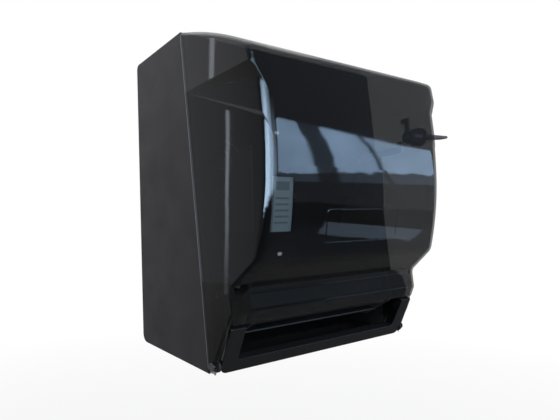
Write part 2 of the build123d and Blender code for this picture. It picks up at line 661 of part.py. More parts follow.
def make_lever():
    """The U-shaped push frame with its cheeks, pivot bosses and the horn for its spring."""
    height = LEVER_HEIGHT * hypot(LIP[0] - TOE_DEPTH, LIP[1]) / LIP[1]
    window_half = LEVER_HALF_WIDTH - LEVER_ARM_WIDTH
    frame = Pos(0, height / 2) * Rectangle(2 * LEVER_HALF_WIDTH, height)
    frame -= Pos(0, LEVER_BAR_HEIGHT + height) * Rectangle(2 * window_half, 2 * height)
    for hand in HANDS:
        frame = rounded(frame, (hand * LEVER_HALF_WIDTH, 0), LEVER_CORNER)
        frame = rounded(frame, (hand * window_half, LEVER_BAR_HEIGHT), LEVER_INNER_CORNER)
    lever = extrude(lever_plane() * frame, amount=-LEVER_DEPTH)
    lever -= extrude(lever_plane(LEVER_PLATE) * offset(frame, amount=-LEVER_RIM), amount=-LEVER_DEPTH)
    lever &= between_sides(COVER_WALL + LEVER_GAP, SIDE_TAPER)
    lever += make_apron()
    for hand in HANDS:
        cheek = outline(*from_pivot(*CHEEK_OUTLINE))
        lever += side_band(cheek, CHEEK_OUTER - CHEEK_WALL, CHEEK_OUTER, hand)
        lever += hand_rod(LEVER_PIVOT, PIVOT_BOSS_RADIUS, GEAR_OUTER, CHEEK_OUTER, hand)
    lever += hand_rod(LEVER_PIVOT, PIVOT_FLANGE_RADIUS, GEAR_OUTER, GEAR_OUTER + PIVOT_FLANGE, 1)
    lever += hand_rod(LEVER_PIVOT, PIVOT_BOSS_RADIUS, PLATE_OUTER + END_PLAY, GEAR_OUTER, -1)
    horn_bottom = (LEVER_PIVOT[0], LEVER_PIVOT[1] - PIVOT_BOSS_RADIUS)
    horn_top = (LEVER_PIVOT[0], LEVER_PIVOT[1] + PIVOT_BOSS_RADIUS)
    tip_bottom = (SPRING_HEAD[0], SPRING_HEAD[1] - HORN_RADIUS)
    horn = outline(horn_bottom, horn_top, (SPRING_HEAD[0], SPRING_HEAD[1] + HORN_RADIUS), tip_bottom)
    horn += Pos(*SPRING_HEAD) * Circle(HORN_RADIUS)
    lever += side_band(horn, GEAR_OUTER + END_PLAY, GEAR_OUTER + PIVOT_FLANGE, -1)
    lever += hand_rod(SPRING_HEAD, SPRING_PEG_RADIUS, PLATE_OUTER + END_PLAY, GEAR_OUTER + PIVOT_FLANGE, -1)
    for hand in HANDS:
        lever -= hand_rod(LEVER_PIVOT, PIVOT_PIN_RADIUS + RUNNING_FIT, PLATE_INNER, HALF, hand)
    for place in sector_screw_places():
        lever -= hand_rod(place, SMALL_SCREW_RADIUS, GEAR_OUTER, GEAR_OUTER + PIVOT_FLANGE - SCREW_FLOOR, 1)
    return lever


def make_apron():
    """The curved skirt behind the lever's bar, which closes the foot as the lever swings in."""
    radius = PIVOT_HEIGHT - APRON_RISE
    ends = (270.0 - APRON_SWEEP, 270.0 + APRON_OVERLAP)
    corners = [polar(LEVER_PIVOT, 2 * radius, angle) for angle in ends]
    face = Pos(*LEVER_PIVOT) * (Circle(radius) - Circle(radius - APRON_WALL))
    face &= outline(LEVER_PIVOT, *corners)
    return slab(face, -ROLL_HALF_WIDTH, ROLL_HALF_WIDTH)


def make_pivot_pin(hand):
    """A shoulder pin that carries the lever on a chassis plate."""
    pin = hand_rod(LEVER_PIVOT, PIVOT_PIN_RADIUS, PLATE_INNER, CHEEK_OUTER + END_PLAY, hand)
    head_from = CHEEK_OUTER + END_PLAY
    return pin + hand_rod(LEVER_PIVOT, PIVOT_HEAD_RADIUS, head_from, head_from + PIVOT_HEAD_THICK, hand)


def sector_screw_places():
    """Where the sector gear is screwed to the lever's flange."""
    return [polar(LEVER_PIVOT, SECTOR_SCREW_RING, 360.0 * i / SECTOR_SCREWS) for i in range(SECTOR_SCREWS)]


def tooth(centre, teeth, angle, addendum):
    """One involute gear tooth, from inside its root circle to its tip."""
    pitch = MODULE * teeth / 2
    base = pitch * cos(radians(PRESSURE_ANGLE))
    root = pitch - 1.25 * MODULE
    tip = pitch + addendum
    involute = tan(radians(PRESSURE_ANGLE)) - radians(PRESSURE_ANGLE)
    at_pitch = (pi * MODULE / 2 - BACKLASH) / (2 * pitch)
    flank = []
    for step in range(5):
        radius = max(base, root) + (tip - max(base, root)) * step / 4
        spread = sqrt(max(0.0, (radius / base) ** 2 - 1))
        flank.append((radius, at_pitch + involute - (spread - acos(base / radius))))
    waist = flank[0][1] - BACKLASH / (3 * root)
    flank = [(root - MODULE / 3, waist), (min(root, base), waist)] + flank
    right = [polar(centre, r, angle - degrees(half)) for r, half in flank]
    left = [polar(centre, r, angle + degrees(half)) for r, half in reversed(flank)]
    return outline(*right, *left)


def make_sector():
    """The sector gear on the right of the lever, which turns the pinion."""
    pitch_angle = 360.0 / SECTOR_TEETH
    mesh = 180.0 + MESH_ANGLE
    first = mesh + SECTOR_FIRST_TOOTH * pitch_angle
    last = first + (SECTOR_TEETH_CUT - 1) * pitch_angle
    root = MODULE * SECTOR_TEETH / 2 - 1.25 * MODULE
    reach = 2 * root
    edge_low, edge_high = first - pitch_angle, last + pitch_angle
    middle = (first + last) / 2
    corners = [LEVER_PIVOT] + [polar(LEVER_PIVOT, reach, a) for a in (edge_low, middle, edge_high)]
    disc = Pos(*LEVER_PIVOT) * (Circle(root) - (Circle(SECTOR_SLOT[1]) - Circle(SECTOR_SLOT[0])))
    face = (disc & outline(*corners)) + Pos(*LEVER_PIVOT) * Circle(PIVOT_FLANGE_RADIUS)
    for angle in (first, last):
        face += strip((LEVER_PIVOT, polar(LEVER_PIVOT, root - MODULE, angle)), 2.5 * MODULE)
    for i in range(SECTOR_TEETH_CUT):
        face += tooth(LEVER_PIVOT, SECTOR_TEETH, first + i * pitch_angle, 0.8 * MODULE)
    gear = slab(face, GEAR_INNER, GEAR_OUTER)
    gear += rod(LEVER_PIVOT, PIVOT_BOSS_RADIUS, PLATE_OUTER + END_PLAY, GEAR_INNER)
    gear -= rod(LEVER_PIVOT, PIVOT_PIN_RADIUS + RUNNING_FIT, PLATE_OUTER, GEAR_OUTER + 1)
    for place in sector_screw_places():
        gear -= rod(place, SMALL_SCREW_RADIUS, GEAR_INNER, GEAR_OUTER)
        gear -= rod(place, SMALL_HEAD_RADIUS, GEAR_INNER - 1, GEAR_INNER + SMALL_HEAD_THICK)
    return gear


def make_sector_screws():
    """Screws through the sector gear, with their heads sunk in it."""
    plane = Plane(origin=(0, 0, 0), z_dir=(-1, 0, 0))
    length = GEAR_WIDTH - SMALL_HEAD_THICK + PIVOT_FLANGE - SCREW_FLOOR
    places = [(GEAR_INNER + SMALL_HEAD_THICK, -place[0], place[1]) for place in sector_screw_places()]
    size = (SMALL_SCREW_RADIUS, SMALL_HEAD_RADIUS, SMALL_HEAD_THICK, length)
    return [Pos(*place) * screw(plane, *size) for place in places]


def make_lever_spring():
    """The extension spring that pulls the lever's horn down, close wound, with a ring at each end."""
    ring_radius = SPRING_PEG_RADIUS + SPRING_WIRE + RUNNING_FIT
    low = SPRING_FOOT[1] + ring_radius + SPRING_WIRE
    high = SPRING_HEAD[1] - ring_radius - SPRING_WIRE
    turns = round((high - low) / SPRING_PITCH)
    coil = Rectangle(SPRING_WIRE, high - low)
    coil = Pos(SPRING_RADIUS, (low + high) / 2) * coil
    for i in range(turns + 1):
        coil += Pos(SPRING_RADIUS, low + (high - low) * i / turns) * Circle(SPRING_WIRE)
    spring = revolve(Plane.XZ * coil, axis=Axis.Z)
    for end in (low, high):
        spring += Pos(0, 0, end) * Cylinder(SPRING_RADIUS, 2 * SPRING_WIRE)
    for peg in (SPRING_FOOT, SPRING_HEAD):
        spring += Pos(0, 0, peg[1]) * Rot(Y=90) * Torus(ring_radius, SPRING_WIRE)
    return Pos(-SPRING_X, -SPRING_FOOT[0], 0) * spring


# Feed unit


def make_plate(hand):
    """A chassis side plate with the flange that is screwed to the case."""
    edge = from_pivot(*PLATE_OUTLINE)
    low, high = edge[0][1], edge[-1][1]
    plate = side_band(outline((BOSS_DEPTH, low), *edge, (BOSS_DEPTH, high)), PLATE_INNER, PLATE_OUTER, hand)
    x_pair = (hand * PLATE_INNER, hand * (PLATE_INNER + FLANGE_REACH))
    plate += block(x_pair, (BOSS_DEPTH, BOSS_DEPTH + FLANGE_WALL), (low, high))
    leaf_peg = (PINCH[0] + LEAF_PEG[0], PINCH[1] + LEAF_PEG[1])
    plate += hand_rod(leaf_peg, LEAF_PEG_RADIUS, PLATE_INNER, PLATE_OUTER + END_PLAY + LEAF_WIDTH, hand)
    if hand < 0:
        plate += hand_rod(SPRING_FOOT, SPRING_PEG_RADIUS, PLATE_INNER, GEAR_OUTER, hand)
    for height in CHASSIS_SCREW_HEIGHTS:
        plate -= wall_rod(hand * CHASSIS_SCREW_X, height, SCREW_RADIUS, 0, 2 * BOSS_DEPTH)
    holes = [(DRIVE, BUSH_RADIUS), (LEVER_PIVOT, PIVOT_PIN_RADIUS)]
    holes.append((PINCH, PINCH_SHAFT_RADIUS + RUNNING_FIT))
    holes += [(place, SMALL_SCREW_RADIUS) for place in (*NOSE_BOSSES, *CHUTE_BOSSES)]
    for place, radius in holes:
        plate -= hand_rod(place, radius, PLATE_INNER - 1, PLATE_OUTER + 1, hand)
    return plate


def make_chassis_screws():
    """The screws that hold both chassis plates to the case."""
    places = [(hand * CHASSIS_SCREW_X, height) for hand in HANDS for height in CHASSIS_SCREW_HEIGHTS]
    return wall_screws(places, BOSS_DEPTH + FLANGE_WALL)


def wall_screws(places, seat_depth):
    """Screws into the case's bosses, with their heads at a depth."""
    size = (SCREW_RADIUS, SCREW_HEAD_RADIUS, SCREW_HEAD_THICK, seat_depth - CASE_WALL - SCREW_FLOOR)
    return [Pos(x, -seat_depth, z) * screw(Plane.XZ, *size) for x, z in places]


def make_bush(hand):
    """A flanged bush that carries the drive shaft in a chassis plate."""
    bush = ring(DRIVE, BUSH_RADIUS, SHAFT_RADIUS + RUNNING_FIT, PLATE_INNER, PLATE_OUTER, hand)
    ends = (PLATE_INNER - BUSH_FLANGE, PLATE_INNER)
    return bush + ring(DRIVE, BUSH_FLANGE_RADIUS, SHAFT_RADIUS + RUNNING_FIT, *ends, hand)


def clip_starts():
    """Where each clip begins, as X, on the left and on the right of the drive shaft."""
    return (-WHEEL_OUTER - END_PLAY - CLIP_THICK, GEAR_OUTER + END_PLAY)


def make_drive_shaft():
    """The steel shaft, with a groove for a clip near each end."""
    left, right = clip_starts()
    shaft = rod(DRIVE, SHAFT_RADIUS, left - SHAFT_END, right + CLIP_THICK + SHAFT_END)
    for start in (left, right):
        groove = Circle(SHAFT_RADIUS) - Circle(SHAFT_RADIUS - CLIP_GROOVE)
        shaft -= slab(Pos(*DRIVE) * groove, start, start + CLIP_THICK)
    return shaft


def make_clips():
    """The open rings that sit in the shaft's grooves."""
    gap = Pos(CLIP_RADIUS, 0) * Rectangle(2 * CLIP_RADIUS, SHAFT_RADIUS)
    face = Circle(CLIP_RADIUS) - Circle(SHAFT_RADIUS - CLIP_GROOVE) - gap
    return [slab(Pos(*DRIVE) * face, start, start + CLIP_THICK) for start in clip_starts()]


def sleeve_places():
    """Middles of the rubber sleeves and of the pinch rollers that face them."""
    spacing = 2 * ROLLER_HALF_LENGTH / SLEEVE_COUNT
    return [-ROLLER_HALF_LENGTH + spacing * (i + 0.5) for i in range(SLEEVE_COUNT)]


def rollers(place, radius, bore, length):
    """A row of equal rollers on one shaft."""
    face = Pos(*place) * (Circle(radius) - Circle(bore))
    return [slab(face, middle - length / 2, middle + length / 2) for middle in sleeve_places()]


def make_pinion():
    """The pinion on the one-way clutch, meshed with the sector gear."""
    root = MODULE * PINION_TEETH / 2 - 1.25 * MODULE
    face = Pos(*DRIVE) * Circle(root)
    for i in range(PINION_TEETH):
        face += tooth(DRIVE, PINION_TEETH, MESH_ANGLE + 360.0 * i / PINION_TEETH, MODULE)
    return slab(face - Pos(*DRIVE) * Circle(CLUTCH_RADIUS), GEAR_INNER, GEAR_OUTER)


def make_feed_wheel():
    """The hand wheel on the left end of the drive shaft, with finger grooves round its rim."""
    wheel = ring(DRIVE, WHEEL_RADIUS, SHAFT_RADIUS, WHEEL_INNER, WHEEL_OUTER, -1)
    dish = Circle(WHEEL_RADIUS - WHEEL_DISH) - Circle(2 * SHAFT_RADIUS)
    wheel -= side_band(Pos(*DRIVE) * dish, WHEEL_OUTER - WHEEL_DISH, WHEEL_OUTER, -1)
    for i in range(WHEEL_GRIPS):
        place = polar(DRIVE, WHEEL_RADIUS + WHEEL_GRIP_RADIUS / 2, 360.0 * i / WHEEL_GRIPS)
        wheel -= hand_rod(place, WHEEL_GRIP_RADIUS, WHEEL_INNER, WHEEL_OUTER, -1)
    return wheel


def make_leaf(hand):
    """The leaf spring that presses one end of the pinch shaft towards the drive roller."""
    press = PINCH[0] - PINCH_SHAFT_RADIUS - LEAF_WALL / 2 - RUNNING_FIT
    peg = (PINCH[0] + LEAF_PEG[0], PINCH[1] + LEAF_PEG[1])
    eye = LEAF_PEG_RADIUS + LEAF_WALL / 2
    head, foot = PINCH[1] + 3 * PINCH_SHAFT_RADIUS, PINCH[1] - 2 * PINCH_SHAFT_RADIUS
    path = ((peg[0] + eye, peg[1]), (press, head), (press, foot))
    face = strip(path, LEAF_WALL) + Pos(*peg) * Circle(LEAF_PEG_RADIUS + LEAF_WALL)
    face -= Pos(*peg) * Circle(LEAF_PEG_RADIUS)
    return side_band(face, PLATE_OUTER + END_PLAY, PLATE_OUTER + END_PLAY + LEAF_WIDTH, hand)


def guide(path, bosses):
    """A bent sheet between the chassis plates, with a screw boss at each end."""
    sheet = slab(strip(path, GUIDE_WALL), -GUIDE_HALF, GUIDE_HALF)
    boss_from, hole_from = GUIDE_HALF - GUIDE_BOSS_LENGTH, GUIDE_HALF - GUIDE_BOSS_LENGTH / 2
    for hand in HANDS:
        for place in bosses:
            sheet += hand_rod(place, GUIDE_BOSS_RADIUS, boss_from, GUIDE_HALF, hand)
            sheet -= hand_rod(place, SMALL_SCREW_RADIUS, hole_from, GUIDE_HALF + 1, hand)
    return sheet


def make_nose():
    """The front guide: the dark nose behind the cover's lip, which carries the tear bar."""
    nose = guide(NOSE_PATH, NOSE_BOSSES)
    plane = blade_plane()
    for x in BLADE_SCREWS:
        hole = Pos(x, blade_screw_rise()) * Circle(SMALL_SCREW_RADIUS)
        nose -= extrude(plane * hole, amount=-2 * GUIDE_WALL)
    return nose


def make_chute():
    """The rear guide, which leads the paper round under the drive roller and out to the front."""
    radius = DRIVE_RADIUS + CHUTE_GAP + GUIDE_WALL / 2
    steps = round((CHUTE_END - CHUTE_START) / CHUTE_STEP)
    turn = [polar(DRIVE, radius, CHUTE_START + i * CHUTE_STEP) for i in range(steps + 1)]
    return guide((*turn, *from_pivot(CHUTE_END_PLACE)), CHUTE_BOSSES)


def make_guide_screws():
    """Screws through the chassis plates into the ends of both guides."""
    found = []
    length = PLATE_WALL + GUIDE_END_GAP + GUIDE_BOSS_LENGTH / 2
    size = (SMALL_SCREW_RADIUS, SMALL_HEAD_RADIUS, SMALL_HEAD_THICK, length)
    for hand in HANDS:
        plane = Plane(origin=(0, 0, 0), z_dir=(hand, 0, 0))
        for depth, height in (*NOSE_BOSSES, *CHUTE_BOSSES):
            found.append(Pos(hand * PLATE_OUTER, -depth, height) * screw(plane, *size))
    return found


def blade_plane():
    """The outer face of the nose's lower front, facing forward, with its origin at the lower corner."""
    low, high = NOSE_PATH[2], NOSE_PATH[3]
    run = hypot(high[0] - low[0], high[1] - low[1])
    normal = (0, -(high[1] - low[1]) / run, -(high[0] - low[0]) / run)
    return Plane(origin=(0, -low[0], low[1]), x_dir=(1, 0, 0), z_dir=normal).offset(GUIDE_WALL / 2)


def blade_rise():
    """Height of the tear bar above the nose's lower corner, along the bar."""
    low, high = NOSE_PATH[2], NOSE_PATH[3]
    return hypot(high[0] - low[0], high[1] - low[1])


def blade_screw_rise():
    """Height of the tear bar's screws, along the bar."""
    return 0.6 * blade_rise()


def make_tear_bar():
    """The serrated steel strip that the paper is torn against."""
    pitch = 2 * BLADE_HALF_LENGTH / BLADE_TEETH
    points = [(BLADE_HALF_LENGTH, blade_rise()), (-BLADE_HALF_LENGTH, blade_rise())]
    for i in range(BLADE_TEETH):
        x = -BLADE_HALF_LENGTH + i * pitch
        points += [(x, BLADE_TOOTH - BLADE_DROP), (x + pitch / 2, -BLADE_DROP)]
    points.append((BLADE_HALF_LENGTH, BLADE_TOOTH - BLADE_DROP))
    face = outline(*points)
    for x in BLADE_SCREWS:
        face -= Pos(x, blade_screw_rise()) * Circle(SMALL_SCREW_RADIUS)
    return extrude(blade_plane() * face, amount=BLADE_WALL)


def make_tear_bar_screws():
    """The screws that hold the tear bar on the nose."""
    plane = blade_plane().offset(BLADE_WALL)
    size = (SMALL_SCREW_RADIUS, SMALL_HEAD_RADIUS, SMALL_HEAD_THICK, BLADE_WALL + 1.5 * GUIDE_WALL)
    found = []
    for x in BLADE_SCREWS:
        at = plane.location * Location((x, blade_screw_rise(), 0))
        found.append(screw(Plane(at), *size))
    return found


# Roll arms


def make_bracket(hand):
    """The bracket on the case's back that one roll arm swings on."""
    centre = ROLL_CENTRE[1]
    ear_from = ARM_HALF_HEIGHT + EAR_GAP
    reach = ear_from + EAR_WALL
    inner = ARM_PIVOT_X - BRACKET_EDGE
    x_pair = (hand * inner, hand * (inner + BRACKET_WIDTH))
    depth_pair = (BOSS_DEPTH, BOSS_DEPTH + BRACKET_WALL)
    bracket = block(x_pair, depth_pair, (centre - reach, centre + reach))
    middle_depth = (BOSS_DEPTH + ARM_PIVOT_DEPTH) / 2
    web = Pos(hand * ARM_PIVOT_X, -middle_depth) * Rectangle(2 * EAR_RADIUS, ARM_PIVOT_DEPTH - BOSS_DEPTH)
    ear = web + Pos(hand * ARM_PIVOT_X, -ARM_PIVOT_DEPTH) * Circle(EAR_RADIUS)
    ear -= Pos(hand * ARM_PIVOT_X, -ARM_PIVOT_DEPTH) * Circle(ARM_PIN_RADIUS)
    bracket += upright(ear, centre + ear_from, centre + reach)
    bracket += upright(ear, centre - reach, centre - ear_from)
    for rise in (-BRACKET_SCREW_RISE, BRACKET_SCREW_RISE):
        bracket -= wall_rod(hand * BRACKET_SCREW_X, centre + rise, SCREW_RADIUS, 0, 2 * BOSS_DEPTH)
    return bracket


def make_bracket_screws():
    """The screws that hold both arm brackets to the case."""
    rises = (-BRACKET_SCREW_RISE, BRACKET_SCREW_RISE)
    places = [(hand * BRACKET_SCREW_X, ROLL_CENTRE[1] + rise) for hand in HANDS for rise in rises]
    return wall_screws(places, BOSS_DEPTH + BRACKET_WALL)


def make_arm_pin(hand):
    """The upright pin that one roll arm swings on."""
    centre = ROLL_CENTRE[1]
    reach = ARM_HALF_HEIGHT + EAR_GAP + EAR_WALL
    place = Pos(hand * ARM_PIVOT_X, -ARM_PIVOT_DEPTH)
    pin = upright(place * Circle(ARM_PIN_RADIUS), centre - reach, centre + reach)
    return pin + upright(place * Circle(1.6 * ARM_PIN_RADIUS), centre + reach, centre + reach + ARM_PIN_HEAD)


def make_arm(hand):
    """A roll arm: a moulded plate from its knuckle out to the core hub."""
    depth, centre = ROLL_CENTRE
    back = ARM_PIVOT_DEPTH - ARM_PIN_RADIUS
    upper = [(back, ARM_HALF_HEIGHT), (ARM_SHOULDER_DEPTH, ARM_NECK), (depth, ARM_NECK)]
    points = [(d, centre + rise) for d, rise in upper] + [(d, centre - rise) for d, rise in reversed(upper)]
    face = outline(*points) + Pos(depth, centre) * Circle(ARM_TIP_RADIUS)
    arm = side_band(face, ARM_INNER, ARM_OUTER, hand)
    fence = [(depth + ahead, centre + rise) for ahead, rise in FENCE_OUTLINE]
    arm += side_band(outline(*fence), ARM_OUTER - FENCE_WALL, ARM_OUTER, hand)
    rib = strip(((ARM_PIVOT_DEPTH, centre), (depth - ARM_TIP_RADIUS / 2, centre)), ARM_WALL)
    arm += side_band(rib, ARM_OUTER, ARM_OUTER + ARM_WALL, hand)
    place = Pos(hand * ARM_PIVOT_X, -ARM_PIVOT_DEPTH)
    heights = (centre - ARM_HALF_HEIGHT, centre + ARM_HALF_HEIGHT)
    arm += upright(place * Circle(ARM_KNUCKLE_RADIUS), *heights)
    arm -= upright(place * Circle(ARM_PIN_RADIUS + RUNNING_FIT), *heights)
    return arm - hand_rod(ROLL_CENTRE, RIVET_RADIUS, ARM_INNER, ARM_OUTER, hand)


def make_hub(hand):
    """A core hub: the flange that the roll's end runs against and the spigot inside its core."""
    flange_from = ROLL_HALF_WIDTH + ROLL_END_GAP
    flange_to = flange_from + HUB_FLANGE
    tip = flange_from - HUB_SPIGOT_LENGTH
    hub = hand_rod(ROLL_CENTRE, HUB_FLANGE_RADIUS, flange_from, flange_to, hand)
    hub += hand_rod(ROLL_CENTRE, HUB_BOSS_RADIUS, flange_to, ARM_INNER - HUB_GAP, hand)
    root = Pos(*ROLL_CENTRE) * Circle(HUB_SPIGOT_RADIUS)
    end = Pos(*ROLL_CENTRE) * Circle(HUB_SPIGOT_TIP_RADIUS)
    root_face = Pos(hand * flange_from, 0, 0) * (SIDE * root)
    hub += loft([root_face, Pos(hand * tip, 0, 0) * (SIDE * end)])
    for i in range(HUB_RIBS):
        foot = polar(ROLL_CENTRE, HUB_BOSS_RADIUS, 360.0 * i / HUB_RIBS)
        top = polar(ROLL_CENTRE, HUB_SPIGOT_RADIUS, 360.0 * i / HUB_RIBS)
        rib = strip((foot, top), HUB_FLANGE / 2)
        hub += side_band(rib, flange_from - HUB_SPIGOT_LENGTH / 2, flange_from, hand)
    bore_from = tip + HUB_FLANGE
    return hub - hand_rod(ROLL_CENTRE, RIVET_RADIUS + RUNNING_FIT, bore_from, ARM_INNER, hand)


def make_rivet(hand):
    """The rivet that one core hub turns on, fast in its arm."""
    tip = ROLL_HALF_WIDTH + ROLL_END_GAP - HUB_SPIGOT_LENGTH + HUB_FLANGE + END_PLAY
    rivet = hand_rod(ROLL_CENTRE, RIVET_RADIUS, tip, ARM_OUTER, hand)
    return rivet + hand_rod(ROLL_CENTRE, RIVET_HEAD_RADIUS, ARM_OUTER, ARM_OUTER + RIVET_HEAD_THICK, hand)


# Lock


def lock_plane(out=0.0):
    """The cover's right side at the lock: X towards the wall, Y up and Z outward."""
    side = HALF - SIDE_TAPER * (LOCK[0] - seam_depth(LOCK[1]))
    normal = (1, -SIDE_TAPER, SIDE_TAPER * LEAN)
    plane = Plane(origin=(side, -LOCK[0], LOCK[1]), x_dir=(SIDE_TAPER, 1, 0), z_dir=normal)
    return plane.offset(out)


def lock_disc(radius, low, high):
    """A cylinder on the lock's axis between two distances out from the cover's side."""
    return extrude(lock_plane(low) * Circle(radius), amount=high - low)


def make_barrel():
    """The fixed lock body, with a flange outside the cover."""
    barrel = lock_disc(LOCK_RADIUS, -LOCK_DEPTH, 0) + lock_disc(LOCK_FLANGE_RADIUS, 0, LOCK_FLANGE)
    return barrel - lock_disc(PLUG_RADIUS + RUNNING_FIT, -LOCK_DEPTH, LOCK_FLANGE)


def make_lock_nut():
    """The hexagon nut that holds the lock body in the cover."""
    low = -COVER_WALL - LOCK_NUT_THICK
    nut = extrude(lock_plane(low) * RegularPolygon(LOCK_NUT_RADIUS, 6), amount=LOCK_NUT_THICK)
    return nut - lock_disc(LOCK_RADIUS, low, -COVER_WALL)


def cam_levels():
    """Inner and outer distance of the cam from the cover's side."""
    outer = -LOCK_DEPTH - CAM_GAP
    return outer - CAM_WALL, outer


def make_plug():
    """The turning lock core, with a slot for the key."""
    outer = cam_levels()[1]
    proud = LOCK_FLANGE + PLUG_PROUD
    plug = lock_disc(PLUG_RADIUS, outer, proud)
    slot_size = (KEY_BLADE_WIDTH + 2 * RUNNING_FIT, KEY_BLADE_THICK + 2 * RUNNING_FIT)
    plug -= extrude(lock_plane(proud) * Rectangle(*slot_size), amount=-KEY_BLADE_DEPTH - KEY_GAP)
    return plug - lock_disc(SMALL_SCREW_RADIUS, outer, outer + 2 * CAM_WALL)


def make_cam():
    """The lock cam, upright when unlocked, with a hook that drops behind the keeper's tooth."""
    inner, outer = cam_levels()
    face = Circle(CAM_HUB_RADIUS) + Pos(0, CAM_REACH / 2) * Rectangle(CAM_WIDTH, CAM_REACH)
    hook_middle = (CAM_HOOK - CAM_WIDTH / 2) / 2
    face += Pos(hook_middle, CAM_REACH - CAM_WIDTH / 2) * Rectangle(CAM_HOOK + CAM_WIDTH / 2, CAM_WIDTH)
    cam = extrude(lock_plane(inner) * face, amount=CAM_WALL)
    return cam - lock_disc(SMALL_SCREW_RADIUS, inner, outer)


def make_cam_screw():
    """The screw that holds the cam on the lock core."""
    plane = lock_plane(cam_levels()[0])
    flipped = Plane(origin=plane.origin, x_dir=plane.x_dir, z_dir=-plane.z_dir)
    return screw(flipped, SMALL_SCREW_RADIUS, SMALL_HEAD_RADIUS, SMALL_HEAD_THICK, 3 * CAM_WALL)


def make_key():
    """The flat key in the lock, thinner towards its tip."""
    start = LOCK_FLANGE + PLUG_PROUD + KEY_GAP
    plane = lock_plane(start)
    length = KEY_LENGTH - start
    tip = KEY_LENGTH - KEY_WIDTH / 2 - start
    bow = RectangleRounded(KEY_WIDTH, 2 * length, 0.45 * KEY_WIDTH) - Pos(0, tip) * Circle(KEY_RING_RADIUS)
    flat = Plane(origin=plane.origin, x_dir=plane.x_dir, z_dir=plane.y_dir)
    outward = -1 if flat.y_dir.dot(plane.z_dir) < 0 else 1
    bow = extrude(flat * Rot(Z=90 - 90 * outward) * bow, amount=KEY_ROOT_THICK, both=True)
    root, end = KEY_ROOT_THICK / 2, KEY_TIP_THICK / 2
    wedge_plane = Plane(origin=plane.origin, x_dir=plane.z_dir, z_dir=plane.x_dir)
    wedge = outline((0, -root), (0, root), (length + 1, end), (length + 1, -end))
    key = bow & extrude(wedge_plane * wedge, amount=KEY_WIDTH, both=True)
    return key + extrude(plane * Rectangle(KEY_BLADE_WIDTH, KEY_BLADE_THICK), amount=-KEY_BLADE_DEPTH)


def keeper_x(depth):
    """Middle of the keeper strip where it runs in the cam's plane."""
    inner, outer = cam_levels()
    slant = sqrt(1 + SIDE_TAPER**2)
    return HALF - SIDE_TAPER * (depth - seam_depth(KEEPER_HIGH)) + (inner + outer) / 2 * slant


def keeper_screw_places():
    """Where the keeper strip is screwed to the case's right side."""
    return [(depth, (KEEPER_LOW + KEEPER_HIGH) / 2) for depth in KEEPER_SCREW_DEPTHS]


def make_keeper():
    """The steel strip from the case's right side to the tooth that the lock cam hooks behind."""
    turn, tip = LOCK[0] - KEEPER_TURN, LOCK[0] - KEEPER_TIP
    along_wall = HALF - CASE_WALL - CAM_WALL / 2
    start = (along_wall, -KEEPER_ROOT_DEPTH)
    path = (start, (along_wall, -KEEPER_BEND_DEPTH), (keeper_x(turn), -turn), (keeper_x(tip), -tip))
    strap = strip(path, CAM_WALL)
    keeper = upright(strap, KEEPER_LOW, KEEPER_HIGH)
    reach = CAM_WALL / 2
    past = block((0, HALF), (tip - KEEPER_TOOTH, tip + reach), (KEEPER_HIGH, KEEPER_HIGH + KEEPER_TOOTH))
    keeper += upright(strap, KEEPER_HIGH - reach, KEEPER_HIGH + KEEPER_TOOTH) & past
    for place in keeper_screw_places():
        keeper -= rod(place, SMALL_SCREW_RADIUS, HALF / 2, HALF)
    return keeper


def make_keeper_screws():
    """The screws that hold the keeper strip to the case's right side."""
    plane = Plane(origin=(0, 0, 0), z_dir=(-1, 0, 0))
    size = (SMALL_SCREW_RADIUS, SMALL_HEAD_RADIUS, SMALL_HEAD_THICK, CAM_WALL + CASE_WALL - SCREW_FLOOR)
    head_x = HALF - CASE_WALL - CAM_WALL
    return [Pos(head_x, -depth, height) * screw(plane, *size) for depth, height in keeper_screw_places()]


